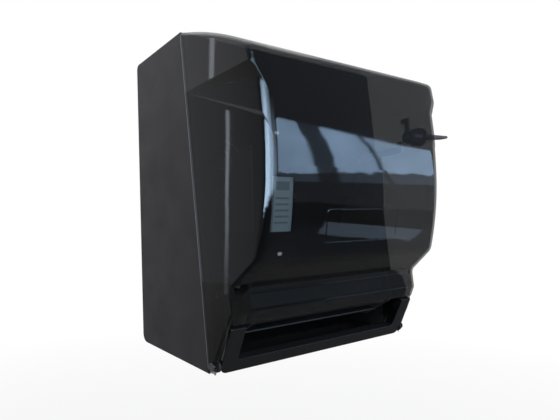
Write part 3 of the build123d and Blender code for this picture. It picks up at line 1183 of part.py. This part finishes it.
def main():
    """Build and write every node."""
    os.makedirs("parts", exist_ok=True)
    outer, inner = cover_form(0.0), cover_form(COVER_WALL)
    save("rear_case", make_case())
    save("cover", make_cover(outer, inner))
    save("loading_label", make_label())
    save("hinge_pins", *[make_hinge_pin(hand) for hand in HANDS])

    save("lever_frame", make_lever())
    save("lever_pivot_pins", *[make_pivot_pin(hand) for hand in HANDS])
    save("lever_spring", make_lever_spring())
    save("sector_gear", make_sector())
    save("sector_screws", *make_sector_screws())

    save("chassis_left", make_plate(-1))
    save("chassis_right", make_plate(1))
    save("chassis_screws", *make_chassis_screws())
    save("front_guide", make_nose())
    save("rear_guide", make_chute())
    save("guide_screws", *make_guide_screws())
    save("tear_bar", make_tear_bar())
    save("tear_bar_screws", *make_tear_bar_screws())

    save("drive_bushes", *[make_bush(hand) for hand in HANDS])
    save("drive_shaft", make_drive_shaft())
    save("shaft_clips", *make_clips())
    core = Pos(*DRIVE) * (Circle(CORE_RADIUS) - Circle(SHAFT_RADIUS))
    save("drive_core", slab(core, -ROLLER_HALF_LENGTH, ROLLER_HALF_LENGTH))
    save("drive_sleeves", *rollers(DRIVE, DRIVE_RADIUS, CORE_RADIUS, SLEEVE_LENGTH))
    save("drive_pinion", make_pinion())
    save("one_way_clutch", ring(DRIVE, CLUTCH_RADIUS, SHAFT_RADIUS, GEAR_INNER, GEAR_OUTER, 1))
    save("feed_wheel", make_feed_wheel())
    leaf_end = PLATE_OUTER + END_PLAY + LEAF_WIDTH
    save("pinch_shaft", rod(PINCH, PINCH_SHAFT_RADIUS, -leaf_end, leaf_end))
    save("pinch_rollers", *rollers(PINCH, PINCH_RADIUS, PINCH_SHAFT_RADIUS, PINCH_ROLLER_LENGTH))
    save("pinch_springs", *[make_leaf(hand) for hand in HANDS])

    save("arm_brackets", *[make_bracket(hand) for hand in HANDS])
    save("bracket_screws", *make_bracket_screws())
    save("arm_pins", *[make_arm_pin(hand) for hand in HANDS])
    for name, hand in (("left", -1), ("right", 1)):
        save(f"roll_arm_{name}", make_arm(hand))
        save(f"core_hub_{name}", make_hub(hand))
        save(f"hub_rivet_{name}", make_rivet(hand))

    save("lock_barrel", make_barrel())
    save("lock_nut", make_lock_nut())
    save("lock_plug", make_plug())
    save("lock_cam", make_cam())
    save("cam_screw", make_cam_screw())
    save("key", make_key())
    save("keeper_strip", make_keeper())
    save("keeper_screws", *make_keeper_screws())


if __name__ == "__main__":
    main()
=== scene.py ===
"""Looks of the lever paper towel dispenser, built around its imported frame."""

import bmesh
import bpy
from math import cos, pi, radians, sin, tan
from mathutils import Matrix, Vector


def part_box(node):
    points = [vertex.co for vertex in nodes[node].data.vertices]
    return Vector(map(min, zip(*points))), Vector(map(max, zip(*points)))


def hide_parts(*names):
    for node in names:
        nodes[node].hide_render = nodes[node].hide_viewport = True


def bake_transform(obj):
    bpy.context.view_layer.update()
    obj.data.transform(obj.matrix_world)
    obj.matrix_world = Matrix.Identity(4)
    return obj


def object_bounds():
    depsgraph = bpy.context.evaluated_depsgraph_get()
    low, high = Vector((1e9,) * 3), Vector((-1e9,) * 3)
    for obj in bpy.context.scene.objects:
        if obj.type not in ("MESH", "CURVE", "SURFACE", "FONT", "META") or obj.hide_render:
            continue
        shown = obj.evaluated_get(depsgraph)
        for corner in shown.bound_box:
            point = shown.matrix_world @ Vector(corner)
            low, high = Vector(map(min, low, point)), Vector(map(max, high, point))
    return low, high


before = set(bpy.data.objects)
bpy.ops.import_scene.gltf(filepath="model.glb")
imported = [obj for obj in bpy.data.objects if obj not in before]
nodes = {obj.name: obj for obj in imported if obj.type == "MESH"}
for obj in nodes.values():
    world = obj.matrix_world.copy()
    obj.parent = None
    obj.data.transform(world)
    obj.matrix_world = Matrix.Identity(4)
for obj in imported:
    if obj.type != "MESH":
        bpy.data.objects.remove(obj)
cad_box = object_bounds()
scene = bpy.context.scene

X, Y, Z = Vector((1, 0, 0)), Vector((0, 1, 0)), Vector((0, 0, 1))

# The dispenser's form, in metres
HALF_WIDTH = 0.1575  # at the seam between cover and case
SIDE_TAPER = 0.2  # how far the cover's sides close in over its depth
FOOT = -0.205  # the case's lowest height
SEAM_FOOT_DEPTH, SEAM_LEAN = 0.165, 44.0 / 375.0
SEAM_DEPTH = SEAM_FOOT_DEPTH + SEAM_LEAN * FOOT  # at height 0
LIP_TOP = (-0.112, -0.107)  # the cover's lip begins between these heights
LABEL = [Vector(corner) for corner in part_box("loading_label")]


# Shader nodes


def new_material(name):
    """A material with an empty tree, its Principled shader and its output."""
    material = bpy.data.materials.new(name)
    material.use_nodes = True
    tree = material.node_tree
    tree.nodes.clear()
    out = tree.nodes.new("ShaderNodeOutputMaterial")
    shader = tree.nodes.new("ShaderNodeBsdfPrincipled")
    tree.links.new(shader.outputs["BSDF"], out.inputs["Surface"])
    return material, tree, shader


def object_place(tree):
    """Where a point lies on its object, in metres."""
    return tree.nodes.new("ShaderNodeTexCoord").outputs["Object"]


def ray_is(tree, kind):
    """1 for rays of a kind and 0 for others."""
    return tree.nodes.new("ShaderNodeLightPath").outputs[f"Is {kind} Ray"]


def noise(tree, scale, detail=4.0, roughness=0.55, stretch=None):
    """A noise texture in object space, stretched along an axis if asked."""
    coords = object_place(tree)
    if stretch:
        mapping = tree.nodes.new("ShaderNodeMapping")
        mapping.inputs["Scale"].default_value = stretch
        tree.links.new(coords, mapping.inputs["Vector"])
        coords = mapping.outputs["Vector"]
    texture = tree.nodes.new("ShaderNodeTexNoise")
    texture.inputs["Scale"].default_value = scale
    texture.inputs["Detail"].default_value = detail
    texture.inputs["Roughness"].default_value = roughness
    tree.links.new(coords, texture.inputs["Vector"])
    return texture.outputs["Fac"]


def spread(tree, value, low, high, start=0.3, end=0.7):
    """Map a value from start to end onto numbers from low to high, and keep within them."""
    node = tree.nodes.new("ShaderNodeMapRange")
    node.inputs["From Min"].default_value = start
    node.inputs["From Max"].default_value = end
    node.inputs["To Min"].default_value = low
    node.inputs["To Max"].default_value = high
    tree.links.new(value, node.inputs["Value"])
    return node.outputs["Result"]


def join(tree, kind, first, second=0.0):
    """One number worked out from two."""
    node = tree.nodes.new("ShaderNodeMath")
    node.operation = kind
    for socket, value in zip(node.inputs, (first, second)):
        if isinstance(value, float):
            socket.default_value = value
        else:
            tree.links.new(value, socket)
    return node.outputs["Value"]


def plus(tree, first, second):
    """The sum of two numbers."""
    return join(tree, "ADD", first, second)


def minus(tree, first, second):
    """One number less another."""
    return join(tree, "SUBTRACT", first, second)


def times(tree, first, *others):
    """The product of numbers."""
    for other in others:
        first = join(tree, "MULTIPLY", first, other)
    return first


def size_of(tree, value):
    """A number without its sign."""
    return join(tree, "ABSOLUTE", value)


def within(tree, value, start, full, fading, end):
    """0 up to the start, 1 from full to fading, and 0 again from the end."""
    return times(tree, spread(tree, value, 0.0, 1.0, start, full), spread(tree, value, 1.0, 0.0, fading, end))


def along(tree, vector, direction):
    """How far a vector reaches in a direction."""
    node = tree.nodes.new("ShaderNodeVectorMath")
    node.operation = "DOT_PRODUCT"
    tree.links.new(vector, node.inputs[0])
    node.inputs[1].default_value = direction
    return node.outputs["Value"]


def shade(colour, factor):
    """A colour made lighter or darker."""
    return tuple(min(1.0, c * factor) for c in colour)


def ramp(tree, value, dark, pale):
    """A colour that follows a texture from dark to pale."""
    node = tree.nodes.new("ShaderNodeValToRGB")
    for element, position, colour in zip(node.color_ramp.elements, (0.3, 0.7), (dark, pale)):
        element.position = position
        element.color = (*colour, 1.0)
    tree.links.new(value, node.inputs["Fac"])
    return node.outputs["Color"]


def uneven(tree, value, colour, variation):
    """A colour that a texture makes uneven."""
    return ramp(tree, value, shade(colour, 1 - variation), shade(colour, 1 + variation))


def mixed(tree, share, first, second):
    """The first colour, with a share of the second laid over it."""
    mix = tree.nodes.new("ShaderNodeMix")
    mix.data_type = "RGBA"
    tree.links.new(share, mix.inputs["Factor"])
    for socket, colour in ((mix.inputs["A"], first), (mix.inputs["B"], second)):
        if isinstance(colour, tuple):
            socket.default_value = (*colour, 1.0)
        else:
            tree.links.new(colour, socket)
    return mix.outputs["Result"]


def soft_edges(tree, radius):
    """Normals that round the look of sharp edges, so that they catch the light."""
    node = tree.nodes.new("ShaderNodeBevel")
    node.samples = 6
    node.inputs["Radius"].default_value = radius
    return node.outputs["Normal"]


def bump(tree, shader, height, strength, distance, after=None):
    """Drive the shader's normal with a height, on top of earlier normals."""
    node = tree.nodes.new("ShaderNodeBump")
    node.inputs["Strength"].default_value = strength
    node.inputs["Distance"].default_value = distance
    tree.links.new(height, node.inputs["Height"])
    if after:
        tree.links.new(after, node.inputs["Normal"])
    tree.links.new(node.outputs["Normal"], shader.inputs["Normal"])
    return node.outputs["Normal"]


# Materials


def plastic(name, colour, rough, grain=900.0, relief=0.00012, variation=0.12, wear=0.25, spec=0.5, edge=0.0):
    """Moulded plastic: fine grain, slow colour change and paler edges."""
    material, tree, shader = new_material(name)
    tone = uneven(tree, noise(tree, 9.0, 3.0), colour, variation)
    outward = tree.nodes.new("ShaderNodeNewGeometry").outputs["Pointiness"]
    worn = mixed(tree, spread(tree, outward, 0.0, wear, 0.53, 0.62), tone, shade(colour, 2.2))
    tree.links.new(worn, shader.inputs["Base Color"])
    smudge = noise(tree, 26.0, 5.0)
    tree.links.new(spread(tree, smudge, rough * 0.88, rough * 1.12), shader.inputs["Roughness"])
    shader.inputs["Specular IOR Level"].default_value = spec
    bump(tree, shader, noise(tree, grain, 2.0, 0.6), 0.5, relief, soft_edges(tree, edge) if edge else None)
    return material


def metal(name, colour, rough, stretch=(1, 1, 1)):
    """Plated, turned or drawn metal, with marks that run along its stretch."""
    material, tree, shader = new_material(name)
    marks = noise(tree, 700.0, 3.0, 0.6, stretch)
    tree.links.new(uneven(tree, noise(tree, 60.0, 4.0), colour, 0.1), shader.inputs["Base Color"])
    shader.inputs["Metallic"].default_value = 1.0
    tree.links.new(spread(tree, marks, rough * 0.7, rough * 1.35), shader.inputs["Roughness"])
    bump(tree, shader, marks, 0.35, 0.00004)
    return material


def rubber(name, colour):
    """Ground rubber with fine grooves round it."""
    material, tree, shader = new_material(name)
    tree.links.new(uneven(tree, noise(tree, 40.0, 4.0), colour, 0.2), shader.inputs["Base Color"])
    shader.inputs["Roughness"].default_value = 0.82
    grooves = noise(tree, 500.0, 2.0, 0.5, (1.0, 0.1, 0.1))
    bump(tree, shader, grooves, 0.6, 0.0002)
    return material


def full_edges(tree, ahead):
    """The cover's normals. Its front turns to its sides over a wider belt than its fillet.

    The corners of its lip also turn down.
    """
    edge_turn, edge_belt = 0.12, (0.0085, 0.0135)
    lip_turn, lip_belt = -1.2, (0.012, 0.018)
    coords = tree.nodes.new("ShaderNodeTexCoord")
    place = coords.outputs["Object"]
    across = along(tree, place, X)
    side = minus(tree, times(tree, ahead, -SIDE_TAPER), size_of(tree, across))
    from_side = plus(tree, side, HALF_WIDTH)
    front = spread(tree, along(tree, coords.outputs["Normal"], -Y), 0.0, 1.0, 0.0, 1.0)
    edge = spread(tree, from_side, edge_turn, 0.0, *edge_belt)
    outward = times(tree, edge, front, join(tree, "SIGN", across))
    lip = spread(tree, along(tree, place, Z), 1.0, 0.0, *LIP_TOP)
    lip = times(tree, lip, spread(tree, front, 0.0, 1.0, 0.35, 0.55))
    tilt = tree.nodes.new("ShaderNodeCombineXYZ")
    tree.links.new(outward, tilt.inputs["X"])
    tree.links.new(times(tree, spread(tree, from_side, lip_turn, 0.0, *lip_belt), lip), tilt.inputs["Z"])
    total = tree.nodes.new("ShaderNodeVectorMath")
    tree.links.new(soft_edges(tree, 0.001), total.inputs[0])
    tree.links.new(tilt.outputs["Vector"], total.inputs[1])
    unit = tree.nodes.new("ShaderNodeVectorMath")
    unit.operation = "NORMALIZE"
    tree.links.new(total.outputs["Vector"], unit.inputs[0])
    return unit.outputs["Vector"]


def over_label(tree, place):
    """1 on the clearer patch of the cover over the loading label, and 0 elsewhere."""
    shares = []
    for axis in (X, Z):
        low, high = (corner.dot(axis) for corner in LABEL)
        away = size_of(tree, minus(tree, along(tree, place, axis), (low + high) / 2))
        reach, blur = (high - low) / 2, 0.0005
        shares.append(spread(tree, away, 1.0, 0.0, reach - blur, reach + blur))
    return times(tree, *shares)


def smoked(name):
    """Smoke-tinted clear plastic with faint waves, handling marks and a painted highlight at the seam: a
    pale, less clear and rougher band where the cut edge would catch light.
    """
    tint, label_tint = 0.60, 0.34
    material, tree, shader = new_material(name)
    place = object_place(tree)
    ahead = minus(tree, along(tree, place, SEAM_LEAN * Z - Y), SEAM_DEPTH)
    # Painted highlight: a pale band along the seam, standing in for light caught at the cover's cut edge.
    painted_seam_highlight = spread(tree, ahead, 1.0, 0.0, 0.0011, 0.0019)
    tone = ramp(tree, noise(tree, 5.0, 2.0), (0.006, 0.0065, 0.008), (0.010, 0.0105, 0.013))
    # The painted seam highlight turns the band pale grey.
    tree.links.new(mixed(tree, painted_seam_highlight, tone, (0.13, 0.13, 0.135)), shader.inputs["Base Color"])
    alpha = spread(tree, over_label(tree, place), tint, label_tint, 0.0, 1.0)
    tree.links.new(plus(tree, alpha, times(tree, painted_seam_highlight, 0.35)), shader.inputs["Alpha"])
    smear = spread(tree, noise(tree, 14.0, 6.0, 0.65, (1.0, 1.0, 0.5)), 0.02, 0.06, 0.4, 0.75)
    tree.links.new(plus(tree, smear, times(tree, painted_seam_highlight, 0.3)), shader.inputs["Roughness"])
    shader.inputs["IOR"].default_value = 1.55
    shader.inputs["Specular IOR Level"].default_value = 0.85
    waves = bump(tree, shader, noise(tree, 7.0, 1.0, 0.4), 0.35, 0.0010, full_edges(tree, ahead))
    bump(tree, shader, noise(tree, 320.0, 2.0, 0.5), 0.06, 0.00005, waves)
    return material


def ruled_film(name, paper, ink):
    """A pale printed film: plain ruled lines and a heading bar, with no words."""
    row_count, ink_share = 9.0, 0.5
    material, tree, shader = new_material(name)
    place = object_place(tree)
    low, high = LABEL
    width, height = high.x - low.x, high.z - low.z
    across = minus(tree, along(tree, place, X / width), low.x / width)
    down = plus(tree, along(tree, place, Z / -height), high.z / height)
    row = join(tree, "FRACT", times(tree, down, row_count))
    lines = spread(tree, size_of(tree, minus(tree, row, 0.5)), 1.0, 0.0, 0.12, 0.2)
    lines = times(tree, lines, within(tree, down, 0.33, 0.34, 0.88, 0.89))
    bar = within(tree, down, 0.08, 0.09, 0.24, 0.25)
    marks = times(tree, join(tree, "MAXIMUM", lines, bar), within(tree, across, 0.14, 0.16, 0.80, 0.83))
    tone = uneven(tree, noise(tree, 9.0, 3.0), paper, 0.05)
    tree.links.new(mixed(tree, times(tree, marks, ink_share), tone, ink), shader.inputs["Base Color"])
    tree.links.new(spread(tree, noise(tree, 26.0, 5.0), 0.40, 0.52), shader.inputs["Roughness"])
    bump(tree, shader, noise(tree, 1500.0, 2.0, 0.6), 0.5, 0.00003)
    return material


STEEL = (0.60, 0.60, 0.61)
looks = {
    "rear_case": plastic(
        "case_plastic", (0.045, 0.0425, 0.0445), 0.60, grain=1100.0, relief=0.00018,
        variation=0.10, wear=0.15, spec=0.15, edge=0.001,
    ),
    "cover": smoked("smoked_cover"),
    "loading_label": ruled_film("label_film", (0.60, 0.80, 0.90), (0.10, 0.13, 0.16)),
    "hinge_pins": plastic("pin_plastic", (0.020, 0.020, 0.020), 0.45),
    "lever_frame": plastic(
        "lever_plastic", (0.010, 0.010, 0.011), 0.22, grain=1300.0, relief=0.00005,
        wear=0.35, spec=0.55, edge=0.0018,
    ),
    "front_guide": plastic("guide_plastic", (0.014, 0.014, 0.014), 0.45, grain=1200.0, relief=0.00008),
    "rear_guide": plastic("chute_plastic", (0.016, 0.016, 0.017), 0.45),
    "chassis_left": plastic("chassis_plastic", (0.05, 0.05, 0.052), 0.5),
    "arm_brackets": plastic("bracket_plastic", (0.05, 0.05, 0.052), 0.5),
    "roll_arm_left": plastic("arm_plastic", (0.16, 0.145, 0.125), 0.45),
    "core_hub_left": plastic("hub_plastic", (0.20, 0.19, 0.17), 0.42),
    "sector_gear": plastic(
        "gear_acetal", (0.62, 0.58, 0.50), 0.38, grain=700.0, relief=0.00005, variation=0.06, wear=0.1
    ),
    "drive_core": plastic("core_plastic", (0.10, 0.10, 0.105), 0.45),
    "pinch_rollers": plastic("roller_plastic", (0.085, 0.085, 0.085), 0.42),
    "feed_wheel": plastic("wheel_plastic", (0.38, 0.40, 0.38), 0.45),
    "key": plastic("key_grip", (0.075, 0.028, 0.024), 0.42, relief=0.0001, variation=0.15, wear=0.5),
    "drive_sleeves": rubber("sleeve_rubber", (0.13, 0.13, 0.13)),
    "drive_shaft": metal("ground_steel", STEEL, 0.24, stretch=(0.08, 1, 1)),
    "lever_spring": metal("spring_wire", (0.55, 0.55, 0.56), 0.28),
    # The tear bar's steel is darkened nearly to black: painted shade for the unlit inside of the dispenser.
    "tear_bar": metal("steel_strip_painted_shade", (0.07, 0.07, 0.072), 0.34, stretch=(0.06, 1, 1)),
    "drive_bushes": metal("sintered_bronze", (0.50, 0.34, 0.17), 0.45),
    "shaft_clips": metal("blued_steel", (0.16, 0.165, 0.19), 0.36),
    "guide_screws": metal("black_screws", (0.05, 0.05, 0.055), 0.4),
    "chassis_screws": metal("zinc_screws", (0.24, 0.24, 0.25), 0.42),
    "keeper_strip": metal("zinc_strip", (0.62, 0.63, 0.65), 0.36, stretch=(1, 0.1, 1)),
    "lock_barrel": metal("nickel_plate", (0.58, 0.57, 0.54), 0.2),
    "lock_plug": metal("nickel_brass", (0.52, 0.47, 0.38), 0.24),
    "one_way_clutch": metal("drawn_cup", STEEL, 0.22),
}
same_as = {
    "chassis_left": ["chassis_right"],
    "roll_arm_left": ["roll_arm_right"],
    "core_hub_left": ["core_hub_right"],
    "sector_gear": ["drive_pinion"],
    "guide_screws": ["tear_bar_screws"],
    "drive_shaft": [
        "pinch_shaft",
        "arm_pins",
        "hub_rivet_left",
        "hub_rivet_right",
        "lever_pivot_pins",
        "pinch_springs",
    ],
    "chassis_screws": [
        "sector_screws",
        "bracket_screws",
        "cam_screw",
        "keeper_screws",
        "lock_nut",
        "lock_cam",
    ],
}

for node, material in looks.items():
    for name in [node, *same_as.get(node, [])]:
        dressed = nodes[name].data.materials
        dressed.clear()
        dressed.append(material)


# Lever spring: closed turns of round wire between two eyes, built in one fixed shape, though the lever draws
# it out when pressed

SPRING_X, SPRING_Y = -0.1193, -0.141
SPRING_PEGS = (-0.169, -0.130)
SPRING_COIL = (-0.16575, -0.13325)
COIL_RADIUS, EYE_RADIUS, WIRE_RADIUS = 0.0032, 0.00265, 0.0006
TURNS, TURN_STEPS = 26.5, 14
EYE_START, EYE_SWEEP, EYE_STEPS = 60.0, 330.0, 18


def eye(peg, toward):
    """An eye round a peg, from its free end to where the wire turns up into the coil."""
    points = []
    for step in range(EYE_STEPS + 1):
        angle = radians(EYE_START - EYE_SWEEP * step / EYE_STEPS)
        height = peg + toward * sin(angle) * EYE_RADIUS
        points.append(Vector((SPRING_X, SPRING_Y + cos(angle) * EYE_RADIUS, height)))
    return points


def spring_path():
    """The wire's middle line from eye to eye."""
    low, high = SPRING_COIL
    steps = int(TURNS * TURN_STEPS)
    coil = []
    for step in range(steps + 1):
        angle = 2 * pi * step / TURN_STEPS
        x, y = SPRING_X + sin(angle) * COIL_RADIUS, SPRING_Y + cos(angle) * COIL_RADIUS
        coil.append(Vector((x, y, low + (high - low) * step / steps)))
    return eye(SPRING_PEGS[0], 1) + coil + eye(SPRING_PEGS[1], -1)[::-1]


def tube(name, path, radius, material, sides=8):
    """A round wire along a line of points."""
    work = bmesh.new()
    side = Vector((1.0, 0.2, 0.1))
    turn = [2 * pi * k / sides for k in range(sides)]
    rings = []
    for i, point in enumerate(path):
        onward = (path[min(i + 1, len(path) - 1)] - path[max(i - 1, 0)]).normalized()
        side = (side - onward * side.dot(onward)).normalized()
        over = onward.cross(side)
        rings.append([work.verts.new(point + (side * cos(t) + over * sin(t)) * radius) for t in turn])
    for first, second in zip(rings, rings[1:]):
        for i in range(sides):
            j = (i + 1) % sides
            work.faces.new((first[i], first[j], second[j], second[i]))
    work.faces.new(reversed(rings[0]))
    work.faces.new(rings[-1])
    bmesh.ops.recalc_face_normals(work, faces=work.faces)
    mesh = bpy.data.meshes.new(name)
    work.to_mesh(mesh)
    work.free()
    mesh.polygons.foreach_set("use_smooth", [True] * len(mesh.polygons))
    mesh.materials.append(material)
    piece = bpy.data.objects.new(name, mesh)
    scene.collection.objects.link(piece)
    return piece


spring = tube("lever_spring_wire", spring_path(), WIRE_RADIUS, looks["lever_spring"])
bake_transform(spring)
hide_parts("lever_spring")


# Floor and room

FLOOR_SIZE = 14.0
FLOOR_DROP = 0.75  # below the dispenser, which hangs on an unseen wall
FLOOR_FADE = (1.2, 3.2)  # how far off the floor turns white
BACKWARD = (0.42, 0.95)  # how far towards the back a mirrored ray turns white


def background_share(tree, behind):
    """Where a ray sees the white background: the camera's always, and mirrored ones that run to the back."""
    mirrored = join(tree, "MAXIMUM", ray_is(tree, "Glossy"), ray_is(tree, "Transmission"))
    return join(tree, "MAXIMUM", ray_is(tree, "Camera"), times(tree, mirrored, behind))


def floor_and_backdrop():
    """A pale floor. It fades to white far off, and is dim to all rays but the camera's."""
    bpy.ops.mesh.primitive_plane_add(size=FLOOR_SIZE, location=(0, 0, cad_box[0].z - FLOOR_DROP))
    floor = bpy.context.object
    floor.name = "floor"
    material, tree, shader = new_material("pale_floor")
    pale = ramp(tree, noise(tree, 0.8, 3.0), (0.70, 0.69, 0.67), (0.76, 0.75, 0.73))
    seen = mixed(tree, ray_is(tree, "Camera"), (0.20, 0.18, 0.155), pale)
    tree.links.new(seen, shader.inputs["Base Color"])
    shader.inputs["Roughness"].default_value = 0.6
    place = object_place(tree)
    reach = tree.nodes.new("ShaderNodeVectorMath")
    reach.operation = "LENGTH"
    tree.links.new(place, reach.inputs[0])
    reach = reach.outputs["Value"]
    behind = spread(tree, join(tree, "DIVIDE", along(tree, place, Y), reach), 0.0, 1.0, *BACKWARD)
    white = tree.nodes.new("ShaderNodeEmission")
    white.inputs["Strength"].default_value = 1.0
    mix = tree.nodes.new("ShaderNodeMixShader")
    share = times(tree, background_share(tree, behind), spread(tree, reach, 0.88, 1.0, *FLOOR_FADE))
    tree.links.new(share, mix.inputs["Fac"])
    tree.links.new(shader.outputs["BSDF"], mix.inputs[1])
    tree.links.new(white.outputs["Emission"], mix.inputs[2])
    out = next(n for n in tree.nodes if n.type == "OUTPUT_MATERIAL")
    tree.links.new(mix.outputs["Shader"], out.inputs["Surface"])
    floor.data.materials.append(material)


def studio_world():
    """White to the camera and behind the object, and a dim room to everything else."""
    world = bpy.data.worlds.new("studio")
    scene.world = world
    world.use_nodes = True
    tree = world.node_tree
    tree.nodes.clear()
    direction = tree.nodes.new("ShaderNodeTexCoord").outputs["Generated"]
    behind = spread(tree, along(tree, direction, Y), 0.0, 1.0, *BACKWARD)
    mix = tree.nodes.new("ShaderNodeMixShader")
    tree.links.new(background_share(tree, behind), mix.inputs["Fac"])
    for socket, colour, strength in ((1, (0.78, 0.88, 1.0, 1.0), 0.15), (2, (1.0, 1.0, 1.0, 1.0), 1.0)):
        light = tree.nodes.new("ShaderNodeBackground")
        light.inputs["Color"].default_value = colour
        light.inputs["Strength"].default_value = strength
        tree.links.new(light.outputs["Background"], mix.inputs[socket])
    out = tree.nodes.new("ShaderNodeOutputWorld")
    tree.links.new(mix.outputs["Shader"], out.inputs["Surface"])


# Lamps

FRONT = Vector((0, -0.24, 0.03))  # the middle of the cover's front
PANELS = {
    # name: azimuth, elevations, distance, width, radiance, colour
    "sky": (53.0, (0.8, 20.5), 4.0, 2.6, 4.0, (0.46, 0.69, 1.0)),
    "edge_glow": (-24.0, (-8.0, 40.0), 1.2, 3.5, 14.0, (0.54, 0.75, 1.0)),
    "front_fill": (30.0, (2.0, 45.0), 2.0, 2.2, 2.8, (0.88, 0.95, 1.0)),
    "low_fill": (55.0, (-19.0, -14.5), 2.0, 0.5, 0.7, (0.55, 0.74, 1.0)),
}
SOFTBOXES = {
    # name: place, target, size, radiance, colour
    "top": ((0, 0, 0.95), (0, -0.1, 0), (1.5, 1.1), 0.8, (0.97, 1.0, 0.96)),
    "side": ((-0.46, 0, 0.70), (-0.16, -0.06, 0.14), (0.35, 0.35), 17.0, (1.0, 0.96, 0.97)),
    "streak": ((-1.82, 0.894, 0.135), (-0.16, -0.15, 0.135), (0.018, 1.01), 2.5743, (0.80, 0.88, 1.0)),
    "upper_streak": ((-1.552, 1.254, 0.91), (-0.16, -0.15, 0.91), (0.025, 0.38), 1.8, (0.80, 0.88, 1.0)),
}


def softbox(name, place, target, size, radiance, colour):
    """A rectangular soft light that looks at a point."""
    data = bpy.data.lights.new(name, "AREA")
    data.shape = "RECTANGLE"
    data.size, data.size_y = size
    data.energy = radiance * pi * size[0] * size[1]
    data.color = colour
    light = bpy.data.objects.new(name, data)
    scene.collection.objects.link(light)
    light.location = place
    light.rotation_mode = "QUATERNION"
    light.rotation_quaternion = (Vector(target) - Vector(place)).to_track_quat("-Z", "Y")
    light.visible_camera = False
    return light


def panel(name, azimuth, elevations, distance, width, radiance, colour):
    """An upright softbox, seen from the front between two elevations and an azimuth round to the right."""
    low, high = (distance * tan(radians(e)) for e in elevations)
    across = X * sin(radians(azimuth)) - Y * cos(radians(azimuth))
    middle = FRONT + Z * (low + high) / 2
    return softbox(name, middle + across * distance, middle, (width, high - low), radiance, colour)


def lamp_nodes(light):
    """A lamp's tree, the points on the lamp and its strength."""
    light.data.use_nodes = True
    tree = light.data.node_tree
    emission = next(n for n in tree.nodes if n.type == "EMISSION")
    return tree, tree.nodes.new("ShaderNodeNewGeometry").outputs["Position"], emission.inputs["Strength"]


def lamp_places(tree, light, at):
    """How far a point lies to the right of the lamp's middle, and how far above it."""
    side = light.rotation_quaternion @ X
    run = minus(tree, along(tree, at, side), light.location.dot(side))
    rise = minus(tree, along(tree, at, Z), light.location.z)
    return run, rise


def lamp_noise(tree, at, scale):
    """Noise over a lamp."""
    texture = tree.nodes.new("ShaderNodeTexNoise")
    texture.inputs["Scale"].default_value = scale
    tree.links.new(at, texture.inputs["Vector"])
    return texture.outputs["Fac"]


def post(tree, run, rise, lean, middle, half):
    """0 on a leaning post before the lamp and 1 beside it."""
    line = plus(tree, times(tree, rise, lean), middle)
    return spread(tree, size_of(tree, minus(tree, run, line)), 0.06, 1.0, half, half + 0.02)


def shaped_sky(light, eave_height, eave_slope):
    """Shape a lamp like a view out from under a roof: a slanting eave, two posts and distant trees."""
    tree, at, strength = lamp_nodes(light)
    run, rise = lamp_places(tree, light, at)
    eave = plus(tree, times(tree, run, eave_slope), eave_height)
    under = spread(tree, minus(tree, eave, rise), 0.0, 1.0, -0.01, 0.03)
    wide_post = post(tree, run, rise, lean=-0.06, middle=-0.45, half=0.085)
    thin_post = post(tree, run, rise, lean=-0.185, middle=0.025, half=0.012)
    foot = light.data.size_y / -2
    crowns = plus(tree, rise, times(tree, lamp_noise(tree, at, 9.0), 0.16))
    trees = spread(tree, crowns, 0.10, 1.0, foot + 0.30, foot + 0.33)
    clouds = spread(tree, lamp_noise(tree, at, 1.6), 0.75, 1.15)
    tree.links.new(times(tree, under, wide_post, thin_post, trees, clouds), strength)


def soft_rim(light, right, low, top):
    """Let a lamp fade towards its right end, its foot and its top, over these widths."""
    tree, at, strength = lamp_nodes(light)
    run, rise = lamp_places(tree, light, at)
    half, head = light.data.size / 2, light.data.size_y / 2
    across = spread(tree, run, 1.0, 0.0, half - right, half)
    upright = within(tree, rise, -head, low - head, head - top, head)
    clouds = spread(tree, lamp_noise(tree, at, 1.3), 0.7, 1.15)
    tree.links.new(times(tree, across, upright, clouds), strength)


def faded(light, low, high):
    """Let a lamp fade from one height down to another."""
    tree, at, strength = lamp_nodes(light)
    tree.links.new(spread(tree, along(tree, at, Z), 0.15, 1.0, low, high), strength)


def photo_camera():
    """The camera that took the photograph, as its vanishing points give it."""
    heading, roll = radians(31.52), radians(-1.38)
    ahead = X * sin(heading) + Y * cos(heading)
    level = X * cos(heading) - Y * sin(heading)
    right = level * cos(roll) + Z * sin(roll)
    above = right.cross(ahead)
    data = bpy.data.cameras.new("photo_camera")
    camera = bpy.data.objects.new("photo_camera", data)
    scene.collection.objects.link(camera)
    turn = Matrix((right, above, -ahead)).transposed().to_4x4()
    camera.matrix_world = Matrix.Translation((-0.4039, -0.5573, -0.0479)) @ turn
    frame_width, focal_length, shift_x, shift_y = 560, 443.1, 80.0, 14.2  # in pixels
    data.sensor_width = 36.0
    data.lens = focal_length / frame_width * data.sensor_width
    data.shift_x = shift_x / frame_width
    data.shift_y = shift_y / frame_width
    data.clip_start = 0.01
    scene.camera = camera


floor_and_backdrop()
studio_world()

lamps = {name: panel(name, *values) for name, values in PANELS.items()}
lamps.update({name: softbox(name, *values) for name, values in SOFTBOXES.items()})
shaped_sky(lamps["sky"], eave_height=0.28, eave_slope=-0.585)
soft_rim(lamps["edge_glow"], right=2.2, low=0.08, top=0.7)
faded(lamps["streak"], low=-0.30, high=0.35)
lamps["edge_glow"].visible_diffuse = False
lamps["front_fill"].visible_glossy = False
lamps["side"].visible_glossy = False

photo_camera()
scene.view_settings.view_transform = "Standard"
